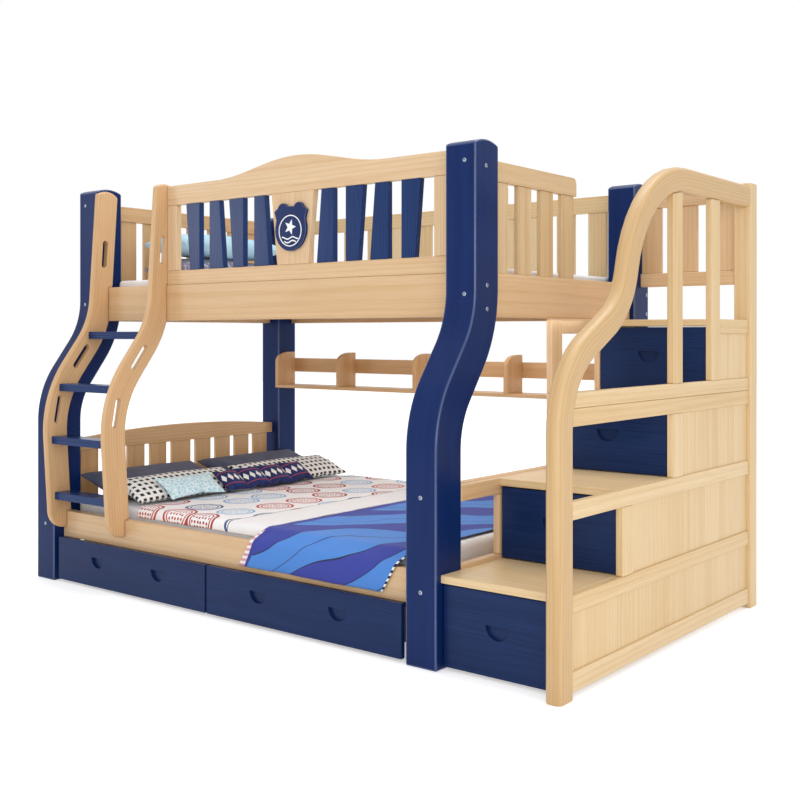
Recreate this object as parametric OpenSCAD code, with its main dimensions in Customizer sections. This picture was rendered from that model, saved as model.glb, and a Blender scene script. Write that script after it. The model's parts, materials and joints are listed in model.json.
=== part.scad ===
// Bunk bed with a wide lower bunk, a leaning ladder and a flight of drawer steps.
// Millimetres, +Z up, the floor at z = 0. X runs along the bed to the steps, Y to the back.

/* [Bed frame] */
// Length over the posts
bed_len = 2193; // [2000:1:2400]
// Depth from the foot of the front posts to the back
bed_depth = 1500; // [1400:1:1600]
// Width of a post along the bed
post_w = 124; // [100:1:130]
// Depth of a front post, square to its curve
post_d = 139; // [120:1:140]
// Depth of a back post
back_post_d = 128; // [110:1:140]
// Height of a post at its shoulders
post_h = 1710; // [1692:1:1772]
// How far the back posts end below the front posts
back_post_below = 28; // [10:1:34]
// Rise of a post's arched top
post_arch = 16; // [6:1:24]
// How far the upper half of a front post stands behind its foot
post_set = 218; // [190:1:240]
// Height at which a front post starts to lean back
post_bend_z = 690; // [650:1:720]
// Lean of a front post between its two bends
post_lean = 36; // [30:1:40]
// Radius of the lower bend on a post's centre line
post_bend_low = 334; // [300:1:360]
// Radius of the upper bend on a post's centre line
post_bend_high = 380; // [340:1:400]
// Thickness of the long rails, end beams and foot rails
rail_t = 40; // [30:1:46]
// Distance of the end beams and guards from the posts' outer faces
end_inset = 22; // [16:1:24]
// Thickness of the back rails of both bunks
back_rail_t = 30; // [24:1:40]
// Distance of the back rails from the back faces of the posts
back_inset = 3; // [1:1:12]

/* [Lower bunk] */
// Underside of the lower side rails
low_rail_z = 186; // [180:1:190]
// Height of the lower side rails
low_rail_h = 114; // [100:1:130]
// Underside of the headboard's top rail
head_rail_z = 548; // [500:1:560]
// Height of the headboard's top rail at its ends
head_rail_h = 50; // [40:1:60]
// Rise of the headboard's arch
head_arch = 32; // [10:1:45]
// Thickness of the headboard's rails
head_t = 28; // [24:1:34]
// Number of slats in the headboard
head_slats = 9; // [5:2:11]
// Width of a headboard slat
head_slat_w = 95; // [80:1:100]
// Width of the headboard's middle slat
head_mid_w = 115; // [90:1:120]
// Underside of the upper foot rail
foot_rail_z = 517; // [500:1:520]
// Height of the upper foot rail
foot_rail_h = 58; // [40:1:64]
// Number of slats under the lower mattress
low_slats = 14; // [10:1:18]
// Thickness of the lower mattress
low_mattress_t = 105; // [80:1:140]

/* [Upper bunk] */
// Underside of the upper rails and beams
up_rail_z = 1128; // [1120:1:1140]
// Height of the upper rails and beams
up_rail_h = 152; // [140:1:160]
// Thickness of the boards of every guard
guard_t = 28; // [22:1:34]
// Thickness of the guard slats
slat_t = 18; // [14:1:22]
// Width of the slats of the end and back guards
slat_w = 88; // [80:1:92]
// Depth of the front guard's top rail, its underside, below the posts' shoulders
guard_below = 92; // [80:1:110]
// Height of the front guard's top rail at its ends
guard_top_h = 84; // [70:1:90]
// Rise of the crest in the middle of the front guard
crest_rise = 58; // [20:1:70]
// Half of the crest's length
crest_half = 450; // [380:1:500]
// Height of the front guard's bottom rail
guard_low_h = 60; // [50:1:70]
// Width of the front guard's end stiles
guard_stile_w = 86; // [60:1:90]
// Width of the front guard's stile beside the ladder
ladder_stile_w = 61; // [50:1:80]
// Width of the middle panel at its foot
panel_low_w = 165; // [140:1:200]
// Width of the middle panel at its top
panel_top_w = 227; // [205:1:245]
// Difference between the wide and the narrow end of a tapered slat
taper = 24; // [10:1:36]
// Gap between the straight edges of two paired slats
taper_gap = 61; // [40:1:70]
// Gap between two pairs of slats
pair_gap = 57; // [40:1:75]
// Gap between the middle panel and the first slat, at the top
panel_gap = 38; // [30:1:60]
// Gap between the last slat and the stile, at the top
edge_gap = 60; // [30:1:70]
// Depth of the end and back guards' top rails, their undersides, below the posts' shoulders
side_guard_below = 114; // [102:1:130]
// Height of the top rails of the end and back guards
side_guard_h = 70; // [60:1:80]
// Length of the guard beside the steps
step_guard_len = 573; // [560:1:600]
// Size of the shield on the middle panel
shield_w = 176; // [150:1:195]
// Thickness of the shield
shield_t = 12; // [8:1:16]
// Number of slats under the upper mattress
up_slats = 13; // [10:1:16]
// Thickness of the upper mattress
up_mattress_t = 124; // [90:1:140]

/* [Ladder] */
// Clear width between the ladder's rails
ladder_clear = 377; // [340:1:420]
// Thickness of a ladder rail
ladder_t = 28; // [24:1:34]
// Depth of a ladder rail, square to its curve
ladder_w = 108; // [100:1:114]
// Depth of a ladder rail's shoulder below the posts' shoulders
ladder_below = 19; // [10:1:45]
// Rise of the arch on top of a ladder rail
ladder_arch = 20; // [8:1:26]
// Height of the ladder's foot
ladder_foot_z = 230; // [215:1:250]
// Lean of the ladder between its bends
ladder_lean = 36.3; // [34:0.1:38]
// Lean of the ladder's foot, away from the bed
ladder_out = 3.6; // [2:0.1:5]
// Lean of the ladder's top
ladder_top_lean = 3.9; // [2:0.1:5]
// Length of the ladder's straight foot
ladder_foot_l = 398; // [385:1:410]
// Length of the ladder's straight slope
ladder_slope_l = 126; // [115:1:135]
// Radius of the ladder's lower bend
ladder_bend_low = 444; // [430:1:455]
// Radius of the ladder's upper bend
ladder_bend_high = 387; // [375:1:400]
// How far the ladder's foot reaches behind the front of the lower rail
ladder_seat = 27; // [20:1:30]
// Height of the lowest rung's middle
rung_low_z = 373; // [360:1:390]
// Height between the upper rungs
rung_pitch = 225; // [215:1:230]
// Height from the lowest rung to the next one
rung_first_pitch = 241; // [225:1:250]
// Height of a rung's section
rung_h = 32; // [24:1:38]
// Depth of a rung
rung_d = 80; // [60:1:84]
// Length of a hand slot
hand_slot_l = 122; // [90:1:130]
// Width of a hand slot
hand_slot_w = 26; // [20:1:30]
// Heights of the hand slots' middles
slot_z = [744, 972, 1428]; // [700:1:1450]

/* [Steps] */
// Width of the stair unit beside the bed
stair_w = 474; // [440:1:520]
// Top of the first tread
first_tread_z = 303; // [295:1:310]
// Rise from each tread to the next
step_rise = 274; // [268:1:276]
// Thickness of a tread
tread_t = 25; // [14:1:30]
// Front edge of the first tread
tread_1_y = 24; // [18:1:30]
// Front edge of the second tread
tread_2_y = 360; // [340:1:380]
// Front edge of the third tread
tread_3_y = 734; // [715:1:745]
// Front edge of the fourth tread
tread_4_y = 1060; // [1040:1:1080]
// Thickness of the handrail, along the bed
hand_t = 56; // [48:1:62]
// Depth of the handrail, square to its curve
hand_w = 86; // [76:1:90]
// Depth of the handrail's first bend below the bed posts' shoulders
hand_bend_below = 928; // [912:1:942]
// Slope of the handrail, from upright
hand_lean = 62.5; // [60:0.5:65]
// Turn by which the slope eases again
hand_ease = 49.2; // [47:0.1:51]
// Radius of the handrail's first bend
hand_r1 = 283; // [270:1:295]
// Length of the handrail's slope
hand_slope_l = 148; // [140:1:156]
// Radius of the handrail's second bend
hand_r2 = 269; // [255:1:280]
// Radius of the bend to the level top
hand_r3 = 428; // [415:1:440]
// Height of the rails of the guard behind the top step
top_guard_rail_h = 56; // [48:1:60]
// Width of the rear stair post
rear_post_w = 67; // [60:1:76]
// Depth of the rear stair post
rear_post_d = 68; // [60:1:76]
// Depth of the rear stair post's top below the bed posts' shoulders
rear_post_below = 50; // [22:1:55]
// Front face of the rear stair post
rear_post_y = 1412; // [1400:1:1425]
// Thickness of the stair's side frames
frame_t = 26; // [20:1:30]
// Distance of the outer side frame from the stair's outer face
frame_inset = 8; // [4:1:12]
// Width of a stile or baluster
stile_w = 74; // [66:1:84]
// Height of a rail of the stair's side frames
side_rail_h = 54; // [48:1:62]
// Clearance of the side frames above the floor
side_foot = 18; // [12:1:30]
// Thickness of the side panels
panel_t = 10; // [6:1:14]

/* [Drawers] */
// Thickness of a drawer front
front_t = 20; // [16:1:24]
// Thickness of a drawer's side
side_t = 12; // [9:1:15]
// Depth of the boxes of the three lower step drawers
step_box_d = 560; // [450:1:600]
// Depth of the top step drawer's box
top_box_d = 300; // [250:1:320]
// Gap around a step drawer's front
front_gap = 4; // [2:0.5:6]
// Distance from each under-bed front to the post beside it
bed_front_margin = 23; // [12:1:40]
// Gap between the two under-bed fronts
front_split = 9; // [4:1:15]
// Height of an under-bed drawer's front
bed_front_h = 182; // [160:1:184]
// Gap between an under-bed front and the floor
bed_front_lift = 11; // [8:1:16]
// How far an under-bed front stands behind the posts' front faces
bed_front_y = 8; // [4:1:12]
// Depth of an under-bed drawer's box
bed_box_d = 620; // [500:1:660]
// Height of the sides of an under-bed drawer's box
bed_box_h = 112; // [80:1:120]
// Radius of a half-moon finger pull
pull_r = 43; // [36:1:50]
// Depth of a finger pull
pull_depth = 12; // [8:1:14]
// Distance between the two pulls of an under-bed drawer
pull_pitch = 388; // [300:1:450]
// Radius of an under-bed drawer's wheel
wheel_r = 22; // [18:1:24]
// Width of a wheel
wheel_w = 18; // [12:1:22]
// Radius of a wheel's axle pin
axle_r = 4; // [3:0.5:5]

/* [Shelf] */
// Top of the shelf board
shelf_z = 803; // [780:1:830]
// Thickness of the shelf board
shelf_t = 16; // [12:1:20]
// Depth of the shelf board
shelf_d = 145; // [130:1:155]
// How far the shelf's back lies behind the front of the back rails
shelf_behind = 25; // [0:1:28]
// Height of the shelf's dividers
divider_h = 172; // [140:1:190]
// Thickness of a divider
divider_t = 22; // [14:1:26]
// Clear widths of the first three bays, from the left
shelf_bays = [410, 466, 496]; // [380:1:520]
// Height of the shelf's back rail
shelf_back_h = 72; // [50:1:90]
// Underside of the shelf's back rail above the board
shelf_back_lift = 66; // [50:1:80]

/* [Bedding] */
// Length of a rear pillow, along the bed
rear_pillow_l = 280; // [240:1:300]
// Thickness of a rear pillow
rear_pillow_t = 84; // [60:1:90]
// Length of a checked pillow, along the bed
front_pillow_l = 230; // [200:1:250]
// Thickness of a checked pillow
front_pillow_t = 70; // [50:1:75]
// Width of the pillows, across the bed
pillow_w = 640; // [560:1:650]
// Length of the upper bunk's pillow
top_pillow_l = 300; // [260:1:330]
// Thickness of the upper bunk's pillow
top_pillow_t = 114; // [80:1:120]
// Length of a small cushion
cushion_l = 150; // [130:1:160]
// Thickness of a small cushion
cushion_t = 46; // [36:1:48]
// Widths of the two small cushions
cushion_w = [312, 560]; // [280:1:580]
// Thickness of the cover and of the throw
cloth_t = 8; // [5:1:10]
// Gap between the lower mattress and the front rail
mattress_side = 18; // [14:1:24]
// Gap around the mattresses' other sides
mattress_gap = 11; // [5:1:15]
// Length of the printed cover with its white band
cover_l = 749; // [600:1:751]
// Length of the throw
throw_l = 695; // [560:1:697]
// Gap between the throw and the foot end posts
throw_gap = 41; // [30:1:80]

/* [Fastenings] */
// Radius of a bolt's shank
bolt_r = 3.5; // [3:0.5:4]
// Radius of a bolt's head
bolt_head_r = 8; // [6:0.5:10]
// Height of a bolt's head
bolt_head_h = 3; // [2:0.5:4]
// Length of a bolt's grip in the rail it holds
bolt_grip = 45; // [30:1:60]
// Clearance around a shank
bolt_play = 0.4; // [0.2:0.1:0.8]

/* [Hidden] */

$fn = 48;
wood = "#E3C391";
paint = "#24386B";
steel = "#C9CCD1";
linen = "#F2F1EE";
slate = "#4C4F63";
arc_n = 10;
// Clearances: on a wheel's pin, between glued pieces, between resting ones, beside loose slats
run_fit = 0.1;
fit = 0.2;
rest = 0.3;
slide = 1;

// Places along X, from the outer face of the right posts
left_in = post_w - bed_len;
right_in = -post_w;
bed_mid = -bed_len/2;

// Places along Y
up_y = post_set + (post_d - rail_t)/2;
low_y = (post_d - rail_t)/2;
post_back_y = post_set + post_d;
back_y = bed_depth - back_post_d;
back_rail_y = bed_depth - back_inset - back_rail_t;
side_y = low_y + rail_t + mattress_side;

// Places along Z
low_rail_top = low_rail_z + low_rail_h;
up_rail_top = up_rail_z + up_rail_h;
ledger_h = 20;
ledger_w = 24;
bed_slat_t = 18;
low_slat_z = low_rail_z + 36;
up_slat_z = up_rail_z + 42;
low_mattress_z = low_slat_z + bed_slat_t + rest;
up_mattress_z = up_slat_z + bed_slat_t + rest;
low_mattress_top = low_mattress_z + low_mattress_t;
guard_top_z = post_h - guard_below;
side_guard_z = post_h - side_guard_below;
ladder_top_z = post_h - ladder_below;
rear_post_h = post_h - rear_post_below;
back_post_h = post_h - back_post_below;
bed_front_l = (bed_len - 2*post_w - front_split)/2 - bed_front_margin;

function tread_y(i) = [tread_1_y, tread_2_y, tread_3_y, tread_4_y][i];
function tread_z(i) = first_tread_z + i*step_rise;
riser_back = 11;

// A centre line is a list of [y, z, heading], the heading being degrees from upright
function straight(p, l) = [p[0] + l*sin(p[2]), p[1] + l*cos(p[2]), p[2]];
function bend(p, r, turn) = [for (i = [1:arc_n])
    let (h = p[2] + turn*i/arc_n, s = sign(turn))
    [p[0] + s*r*(cos(p[2]) - cos(h)), p[1] + s*r*(sin(h) - sin(p[2])), h]];
function walk(p, steps, i = 0) = i == len(steps) ? [] :
    let (q = steps[i][1] == 0 ? [straight(p, steps[i][0])] : bend(p, steps[i][0], steps[i][1]))
    concat(q, walk(q[len(q) - 1], steps, i + 1));
function line_of(p, steps) = concat([p], walk(p, steps));
function last(v) = v[len(v) - 1];
function beside(p, d) = [p[0] + d*cos(p[2]), p[1] - d*sin(p[2])];
function at_height(line, z) =
    let (i = max([for (k = [0:len(line) - 2]) line[k][1] <= z ? k : 0]),
        a = line[i], b = line[i + 1], t = (z - a[1])/(b[1] - a[1]))
    [a[0] + t*(b[0] - a[0]), z, atan2(b[0] - a[0], b[1] - a[1])];
function band(pts, w) = concat([for (p = pts) beside(p, -w/2)],
    [for (i = [len(pts) - 1:-1:0]) beside(pts[i], w/2)]);

// The front post: upright, bent back, bent upright again
post_run = (post_set - (post_bend_low + post_bend_high)*(1 - cos(post_lean)))/sin(post_lean);
post_bent = line_of([post_d/2, 0, 0], [[post_bend_z, 0], [post_bend_low, post_lean],
    [post_run, 0], [post_bend_high, -post_lean]]);
post_line = concat(post_bent, [[post_set + post_d/2, post_h, 0]]);

// The ladder rail: a foot that leans out a little, a bend back, a top that stands off upright
ladder_foot_y = low_y - ladder_w/2 + ladder_seat;
ladder_steps = [[ladder_foot_l, 0], [ladder_bend_low, ladder_lean + ladder_out],
    [ladder_slope_l, 0], [ladder_bend_high, ladder_top_lean - ladder_lean]];
ladder_bent = line_of([ladder_foot_y, ladder_foot_z, -ladder_out], ladder_steps);
ladder_line = concat(ladder_bent,
    [straight(last(ladder_bent), (ladder_top_z - last(ladder_bent)[1])/cos(last(ladder_bent)[2]))]);

// The handrail: upright front post, over to a slope, up again and over to level
hand_y = 2;
hand_bent = line_of([hand_y, 0, 0], [[post_h - hand_bend_below, 0], [hand_r1, hand_lean],
    [hand_slope_l, 0], [hand_r2, -hand_ease], [hand_r3, 90 - hand_lean + hand_ease]]);
hand_line = concat(hand_bent, [[rear_post_y, last(hand_bent)[1], 90]]);
hand_under = last(hand_bent)[1] - hand_w/2;

// Extrudes a (y, z) outline along X, or an (x, z) outline along Y
module along_x(x, l) translate([x, 0, 0]) rotate([90, 0, 90]) linear_extrude(l) children();
module along_y(y, l) translate([0, y + l, 0]) rotate([90, 0, 0]) linear_extrude(l) children();
module box(a, b) translate(a) cube(b - a);

// Moves the bed from its own corner to the middle of the whole object
overall_x = (stair_w - bed_len - bolt_head_h)/2;
front_reach = min([for (p = ladder_line) beside(p, -ladder_w/2)[0]]);
overall_y = (front_reach + bed_depth + bolt_head_h)/2;
module place() translate([-overall_x, -overall_y, 0]) children();

// The points of a shallow arch over a chord of width w, and a band that ends in one
arch_n = 16;
function arch(w, rise) = let (r = (w*w/4 + rise*rise)/(2*rise), a = asin(w/2/r))
    [for (i = [0:arch_n]) let (t = a*(2*i/arch_n - 1)) [r*sin(t), r*cos(t) - r + rise]];
function capped(pts, w, rise) = let (e = last(pts)) concat(
    [for (p = pts) beside(p, -w/2)],
    [for (q = arch(w, rise)) [e[0] + q[0]*cos(e[2]) + q[1]*sin(e[2]),
        e[1] - q[0]*sin(e[2]) + q[1]*cos(e[2])]],
    [for (i = [len(pts) - 1:-1:0]) beside(pts[i], w/2)]);
module front_post_outline() polygon(capped(post_line, post_d, post_arch));
// An upright board from [a, z0] to [b, z1] with an arched top
module arched_board(a, b, z0, z1, rise) polygon(concat([[b, z0], [a, z0]],
    [for (q = arch(b - a, rise)) [(a + b)/2 + q[0], z1 + q[1]]]));

// Bolts: [x, y, z] of the head, the direction its shank runs in and the depth to the rail
end_bolt_x = end_inset + guard_t - 6;
guard_bolt_z = side_guard_z + side_guard_h - 14;
beam_bolt_z = up_rail_z + up_rail_h/2;
end_bolt_z = low_rail_z + low_rail_h/2;
foot_bolt_z = foot_rail_z + foot_rail_h/2;
rail_bolt_z = [up_rail_top - 46, up_rail_z + 26];
low_side_bolt_z = end_bolt_z - 35;
function post_x(left) = left ? -bed_len : -post_w;
function from_end(left, d) = left ? d - bed_len : -d;
post_face = [for (p = post_line) let (q = beside(p, -post_d/2)) [q[0], q[1], p[2]]];
function face_y(z) = at_height(post_face, z - bolt_head_r)[0];
function front_bolts(left) = concat(
    [for (z = [guard_bolt_z, beam_bolt_z])
        [[from_end(left, end_bolt_x), face_y(z), z], [0, 1, 0], post_d]],
    [for (z = left ? [end_bolt_z] : [end_bolt_z, foot_bolt_z])
        [[from_end(left, post_w/2), face_y(z), z], [0, 1, 0], post_d]]);
function side_bolts(left, y, zs) = let (s = left ? 1 : -1)
    [for (z = zs) [[from_end(left, 0), y, z], [s, 0, 0], post_w]];
function back_bolts(left) = concat(
    [for (z = left ? [guard_bolt_z, beam_bolt_z] : [beam_bolt_z])
        [[from_end(left, end_bolt_x), bed_depth, z], [0, -1, 0], back_post_d]],
    [for (z = left ? [end_bolt_z] : [end_bolt_z, foot_bolt_z])
        [[from_end(left, post_w/2), bed_depth, z], [0, -1, 0], back_post_d]]);
function front_post_bolts(left) = concat(front_bolts(left),
    side_bolts(left, up_y + rail_t/2, rail_bolt_z),
    side_bolts(left, up_y + guard_t/2, left ? [] : [guard_top_z + 18]),
    side_bolts(left, low_y + rail_t/2, [low_side_bolt_z]));
function back_post_bolts(left) = concat(back_bolts(left),
    side_bolts(left, back_rail_y + back_rail_t/2,
        [side_guard_z + 18, rail_bolt_z[0], rail_bolt_z[1], low_side_bolt_z]));
all_bolts = concat(front_post_bolts(true), front_post_bolts(false),
    back_post_bolts(true), back_post_bolts(false));

module toward(d) rotate(d[0] != 0 ? [0, 90*d[0], 0] : [-90*d[1], 0, 0]) children();
module shank_holes(list) for (b = list)
    translate(b[0]) toward(b[1]) translate([0, 0, -1])
        cylinder(b[2] + bolt_grip + 3, r = bolt_r + bolt_play, $fn = 24);
module bolt(b) translate(b[0]) toward(b[1]) {
    cylinder(b[2] + bolt_grip, r = bolt_r, $fn = 24);
    mirror([0, 0, 1]) rotate_extrude($fn = 32) intersection() {
        translate([0, bolt_head_h - 2*bolt_head_r]) circle(2*bolt_head_r, $fn = 64);
        square([bolt_head_r, bolt_head_h]);
    }
}

// Posts
module front_post(left) color(paint) place() difference() {
    along_x(post_x(left), post_w) front_post_outline();
    shank_holes(front_post_bolts(left));
}
module back_post(left) color(paint) place() difference() {
    along_x(post_x(left), post_w) arched_board(back_y, bed_depth, 0, back_post_h, post_arch);
    shank_holes(back_post_bolts(left));
}
module post_front_left() front_post(true);
module post_front_right() front_post(false);
module post_back_left() back_post(true);
module post_back_right() back_post(false);

// A long rail between the posts, with the ledger that carries the slats on its inner side
module long_rail(y, z, h, t, ledger_y, ledger_top) color(wood) place() difference() {
    union() {
        box([left_in, y, z], [right_in, y + t, z + h]);
        box([left_in, ledger_y, ledger_top - ledger_h], [right_in, ledger_y + ledger_w, ledger_top]);
    }
    shank_holes(all_bolts);
}
ledger_back_y = back_rail_y - ledger_w - fit;
module lower_rail_front()
    long_rail(low_y, low_rail_z, low_rail_h, rail_t, low_y + rail_t + fit, low_slat_z);
module lower_rail_back()
    long_rail(back_rail_y, low_rail_z, low_rail_h, back_rail_t, ledger_back_y, low_slat_z);
module upper_rail_front()
    long_rail(up_y, up_rail_z, up_rail_h, rail_t, up_y + rail_t + fit, up_slat_z);
module upper_rail_back()
    long_rail(back_rail_y, up_rail_z, up_rail_h, back_rail_t, ledger_back_y, up_slat_z);

// An end beam of the upper bunk
module end_beam(x) color(wood) place() difference() {
    box([x, post_back_y, up_rail_z], [x + rail_t, back_y, up_rail_top]);
    shank_holes(all_bolts);
}
module upper_beam_left() end_beam(end_inset - bed_len);
module upper_beam_right() end_beam(-end_inset - rail_t);

// Headboard
head_x = (post_w - head_t)/2 - bed_len;
head_y0 = post_d;
head_span = back_y - post_d;
module headboard() color(wood) place() difference() {
    union() {
        box([head_x, head_y0, low_rail_z], [head_x + head_t, back_y, low_rail_top]);
        headboard_slats();
        along_x(head_x, head_t)
            arched_board(head_y0, back_y, head_rail_z, head_rail_z + head_rail_h, head_arch);
    }
    shank_holes(all_bolts);
}
function head_w(i) = i == (head_slats - 1)/2 ? head_mid_w : head_slat_w;
head_gap = (head_span - (head_slats - 1)*head_slat_w - head_mid_w)/(head_slats + 1);
function head_slat_y(i) = head_y0 + head_gap*(i + 1) + head_slat_w*i
    + (i > (head_slats - 1)/2 ? head_mid_w - head_slat_w : 0);
module headboard_slats() for (i = [0:head_slats - 1])
    box([head_x + (head_t - slat_t)/2, head_slat_y(i), low_rail_top + fit],
        [head_x + (head_t + slat_t)/2, head_slat_y(i) + head_w(i), head_rail_z - fit]);

// Foot rails, behind the inner side frame of the steps
foot_x = -(post_w + rail_t)/2;
module foot_rails() color(wood) place() difference() {
    union() {
        box([foot_x, post_d, low_rail_z], [foot_x + rail_t, back_y, low_rail_top]);
        box([foot_x, post_d, foot_rail_z], [foot_x + rail_t, back_y, foot_rail_z + foot_rail_h]);
    }
    shank_holes(all_bolts);
}

// Slats across a bunk, and the beam and leg under the lower ones
module cross_slats(n, y0, y1, z) color(wood) place() {
    bed_slat_w = 70;
    pitch = (bed_len - 2*post_w - bed_slat_w - 60)/(n - 1);
    for (i = [0:n - 1]) let (x = left_in + 30 + i*pitch)
        box([x, y0 + slide, z], [x + bed_slat_w, y1 - slide, z + bed_slat_t]);
}
module lower_slats() cross_slats(low_slats, low_y + rail_t, back_rail_y, low_slat_z);
module upper_slats() cross_slats(up_slats, up_y + rail_t, back_rail_y, up_slat_z);
module lower_center_beam() color(wood) place() {
    beam_w = 60;
    leg_w = 50;
    y = (low_y + rail_t + back_rail_y)/2;
    box([head_x + head_t, y - beam_w/2, low_slat_z - rail_t], [foot_x, y + beam_w/2, low_slat_z]);
    box([bed_mid - leg_w/2, y - leg_w/2, 0],
        [bed_mid + leg_w/2, y + leg_w/2, low_slat_z - rail_t - fit]);
}

// Mattresses
mattress_r = 40;
module rounded_slab(a, b, r) translate([0, 0, a[2]]) linear_extrude(b[2] - a[2]) {
    translate([a[0] + r, a[1]]) square([b[0] - a[0] - 2*r, b[1] - a[1]]);
    translate([a[0], a[1] + r]) square([b[0] - a[0], b[1] - a[1] - 2*r]);
    for (x = [a[0] + r, b[0] - r], y = [a[1] + r, b[1] - r]) translate([x, y]) circle(r);
}
module lower_mattress() color(linen) place() rounded_slab(
    [left_in + mattress_gap, low_y + rail_t + mattress_side, low_mattress_z],
    [right_in - mattress_gap, back_rail_y - mattress_gap, low_mattress_top], mattress_r);
module upper_mattress() color(linen) place() rounded_slab(
    [left_in + mattress_gap, up_y + rail_t + mattress_gap, up_mattress_z],
    [right_in - mattress_gap, back_rail_y - mattress_gap, up_mattress_z + up_mattress_t], mattress_r);

// Front guard
ladder_right_x = left_in + ladder_t + ladder_clear;
guard_x0 = ladder_right_x + ladder_t;
guard_x1 = right_in;
guard_mid = (guard_x0 + guard_x1)/2;
guard_low_z = up_rail_top + guard_low_h;
window_x = [guard_x0 + ladder_stile_w, guard_x1 - guard_stile_w];
window_mid = (window_x[0] + window_x[1])/2;
window_half = (window_x[1] - window_x[0])/2;
crest_n = 24;
crest = [for (i = [0:crest_n]) let (d = crest_half*(2*i/crest_n - 1))
    [guard_mid + d, guard_top_z + guard_top_h + crest_rise*(1 + cos(180*d/crest_half))/2]];
module guard_front_frame() color(wood) place() difference() {
    along_y(up_y, guard_t) {
        polygon(concat([[guard_x0, guard_top_z], [guard_x0, guard_top_z + guard_top_h]], crest,
            [[guard_x1, guard_top_z + guard_top_h], [guard_x1, guard_top_z]]));
        translate([guard_x0, up_rail_top]) square([guard_x1 - guard_x0, guard_low_h]);
        for (p = [[guard_x0, ladder_stile_w], [guard_x1 - guard_stile_w, guard_stile_w]])
            translate([p[0], guard_low_z + fit])
                square([p[1], guard_top_z - guard_low_z - 2*fit]);
    }
    shank_holes(front_post_bolts(false));
}
// The panel and the slats lie a little behind the frame's two faces
inlay = 1;
module inlaid() along_y(up_y + inlay, guard_t - 2*inlay) children();
module guard_front_panel() color(wood) place() inlaid() polygon([
    [window_mid - panel_low_w/2, guard_low_z], [window_mid + panel_low_w/2, guard_low_z],
    [window_mid + panel_top_w/2, guard_top_z], [window_mid - panel_top_w/2, guard_top_z]]);
// A tapered slat whose edge at x is upright; side is the way it lies from that edge
module taper(x, side, low, top) polygon([[x, guard_low_z], [x + side*low, guard_low_z],
    [x + side*top, guard_top_z], [x, guard_top_z]]);

panel_mean = (panel_low_w + panel_top_w)/4;
taper_mean = (window_half - panel_mean - 2*taper_gap - pair_gap
    - (panel_gap - taper/2 + (panel_top_w/2 - panel_mean)) - (edge_gap + taper/2))/4;
taper_wide = taper_mean + taper/2;
taper_narrow = taper_mean - taper/2;
pair_inner = panel_top_w/2 + panel_gap + taper_narrow;
pair_outer = window_half - edge_gap - taper_wide;
module guard_front_slats() color(paint) place() inlaid() for (s = [-1, 1]) {
    taper(window_mid + s*pair_outer, s, taper_narrow, taper_wide);
    taper(window_mid + s*(pair_outer - taper_gap), -s, taper_wide, taper_narrow);
    taper(window_mid + s*(pair_inner + taper_gap), s, taper_narrow, taper_wide);
    taper(window_mid + s*pair_inner, -s, taper_wide, taper_narrow);
}
shield_z = guard_low_z + 50;
// Half of the shield's upper outline, in widths: belly, waist, ear and the dip at the top
shield_side = [[0.468, 0.52], [0.435, 0.7], [0.5, 0.88], [0.4, 0.95], [0.1, 0.98]];
module guard_shield() color(paint) place() along_y(up_y + inlay - shield_t, shield_t)
    translate([window_mid, shield_z]) {
        translate([0, 0.47*shield_w]) circle(0.47*shield_w, $fn = 96);
        polygon(shield_w*concat(shield_side,
            [for (i = [len(shield_side) - 1:-1:0]) [-shield_side[i][0], shield_side[i][1]]]));
        for (s = [-1, 1]) translate([s*0.24*shield_w, 0.9*shield_w])
            circle(0.16*shield_w, $fn = 64);
    }

// Guards of vertical slats under a top rail; the slats share the span between the margins
module slat_row(span, margin, count, w, z0, z1) {
    pitch = (span - 2*margin - w)/(count - 1);
    for (i = [0:count - 1]) translate([margin + pitch*i, z0]) square([w, z1 - z0]);
}
back_guard_slats = 12;
left_guard_slats = 7;
left_guard_margin = 58;
right_guard_slats = 4;
right_guard_pitch = 152;
module guard_back() color(wood) place() difference() {
    union() {
        box([left_in, back_rail_y, side_guard_z],
            [right_in, back_rail_y + guard_t, side_guard_z + side_guard_h]);
        along_y(back_rail_y + (guard_t - slat_t)/2, slat_t) translate([left_in, 0])
            slat_row(right_in - left_in, 60, back_guard_slats, slat_w, up_rail_top,
                side_guard_z - fit);
    }
    shank_holes(concat(back_post_bolts(true), back_post_bolts(false)));
}
guard_left_x = end_inset - bed_len;
module guard_left() color(wood) place() difference() {
    union() {
        box([guard_left_x, post_back_y, side_guard_z],
            [guard_left_x + guard_t, back_y, side_guard_z + side_guard_h]);
        along_x(guard_left_x + (guard_t - slat_t)/2, slat_t) translate([post_back_y, 0])
            slat_row(back_y - post_back_y, left_guard_margin, left_guard_slats, slat_w, up_rail_top,
                side_guard_z - fit);
    }
    shank_holes(concat(front_post_bolts(true), back_post_bolts(true)));
}
guard_right_x = -end_inset - guard_t;
module guard_right() color(wood) place() difference() {
    end_r = 24;
    y1 = post_back_y + step_guard_len;
    top = side_guard_z + side_guard_h;
    union() {
        along_x(guard_right_x, guard_t) {
            translate([post_back_y, side_guard_z]) square([step_guard_len - end_r, side_guard_h]);
            translate([post_back_y, side_guard_z]) square([step_guard_len, side_guard_h - end_r]);
            translate([y1 - end_r, top - end_r]) circle(end_r);
        }
        for (i = [0:right_guard_slats - 1])
            let (y = y1 - 14 - slat_w - (right_guard_slats - 1 - i)*right_guard_pitch)
            box([guard_right_x + (guard_t - slat_t)/2, y, up_rail_top],
                [guard_right_x + (guard_t + slat_t)/2, y + slat_w, side_guard_z - fit]);
    }
    shank_holes(front_post_bolts(false));
}

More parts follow.
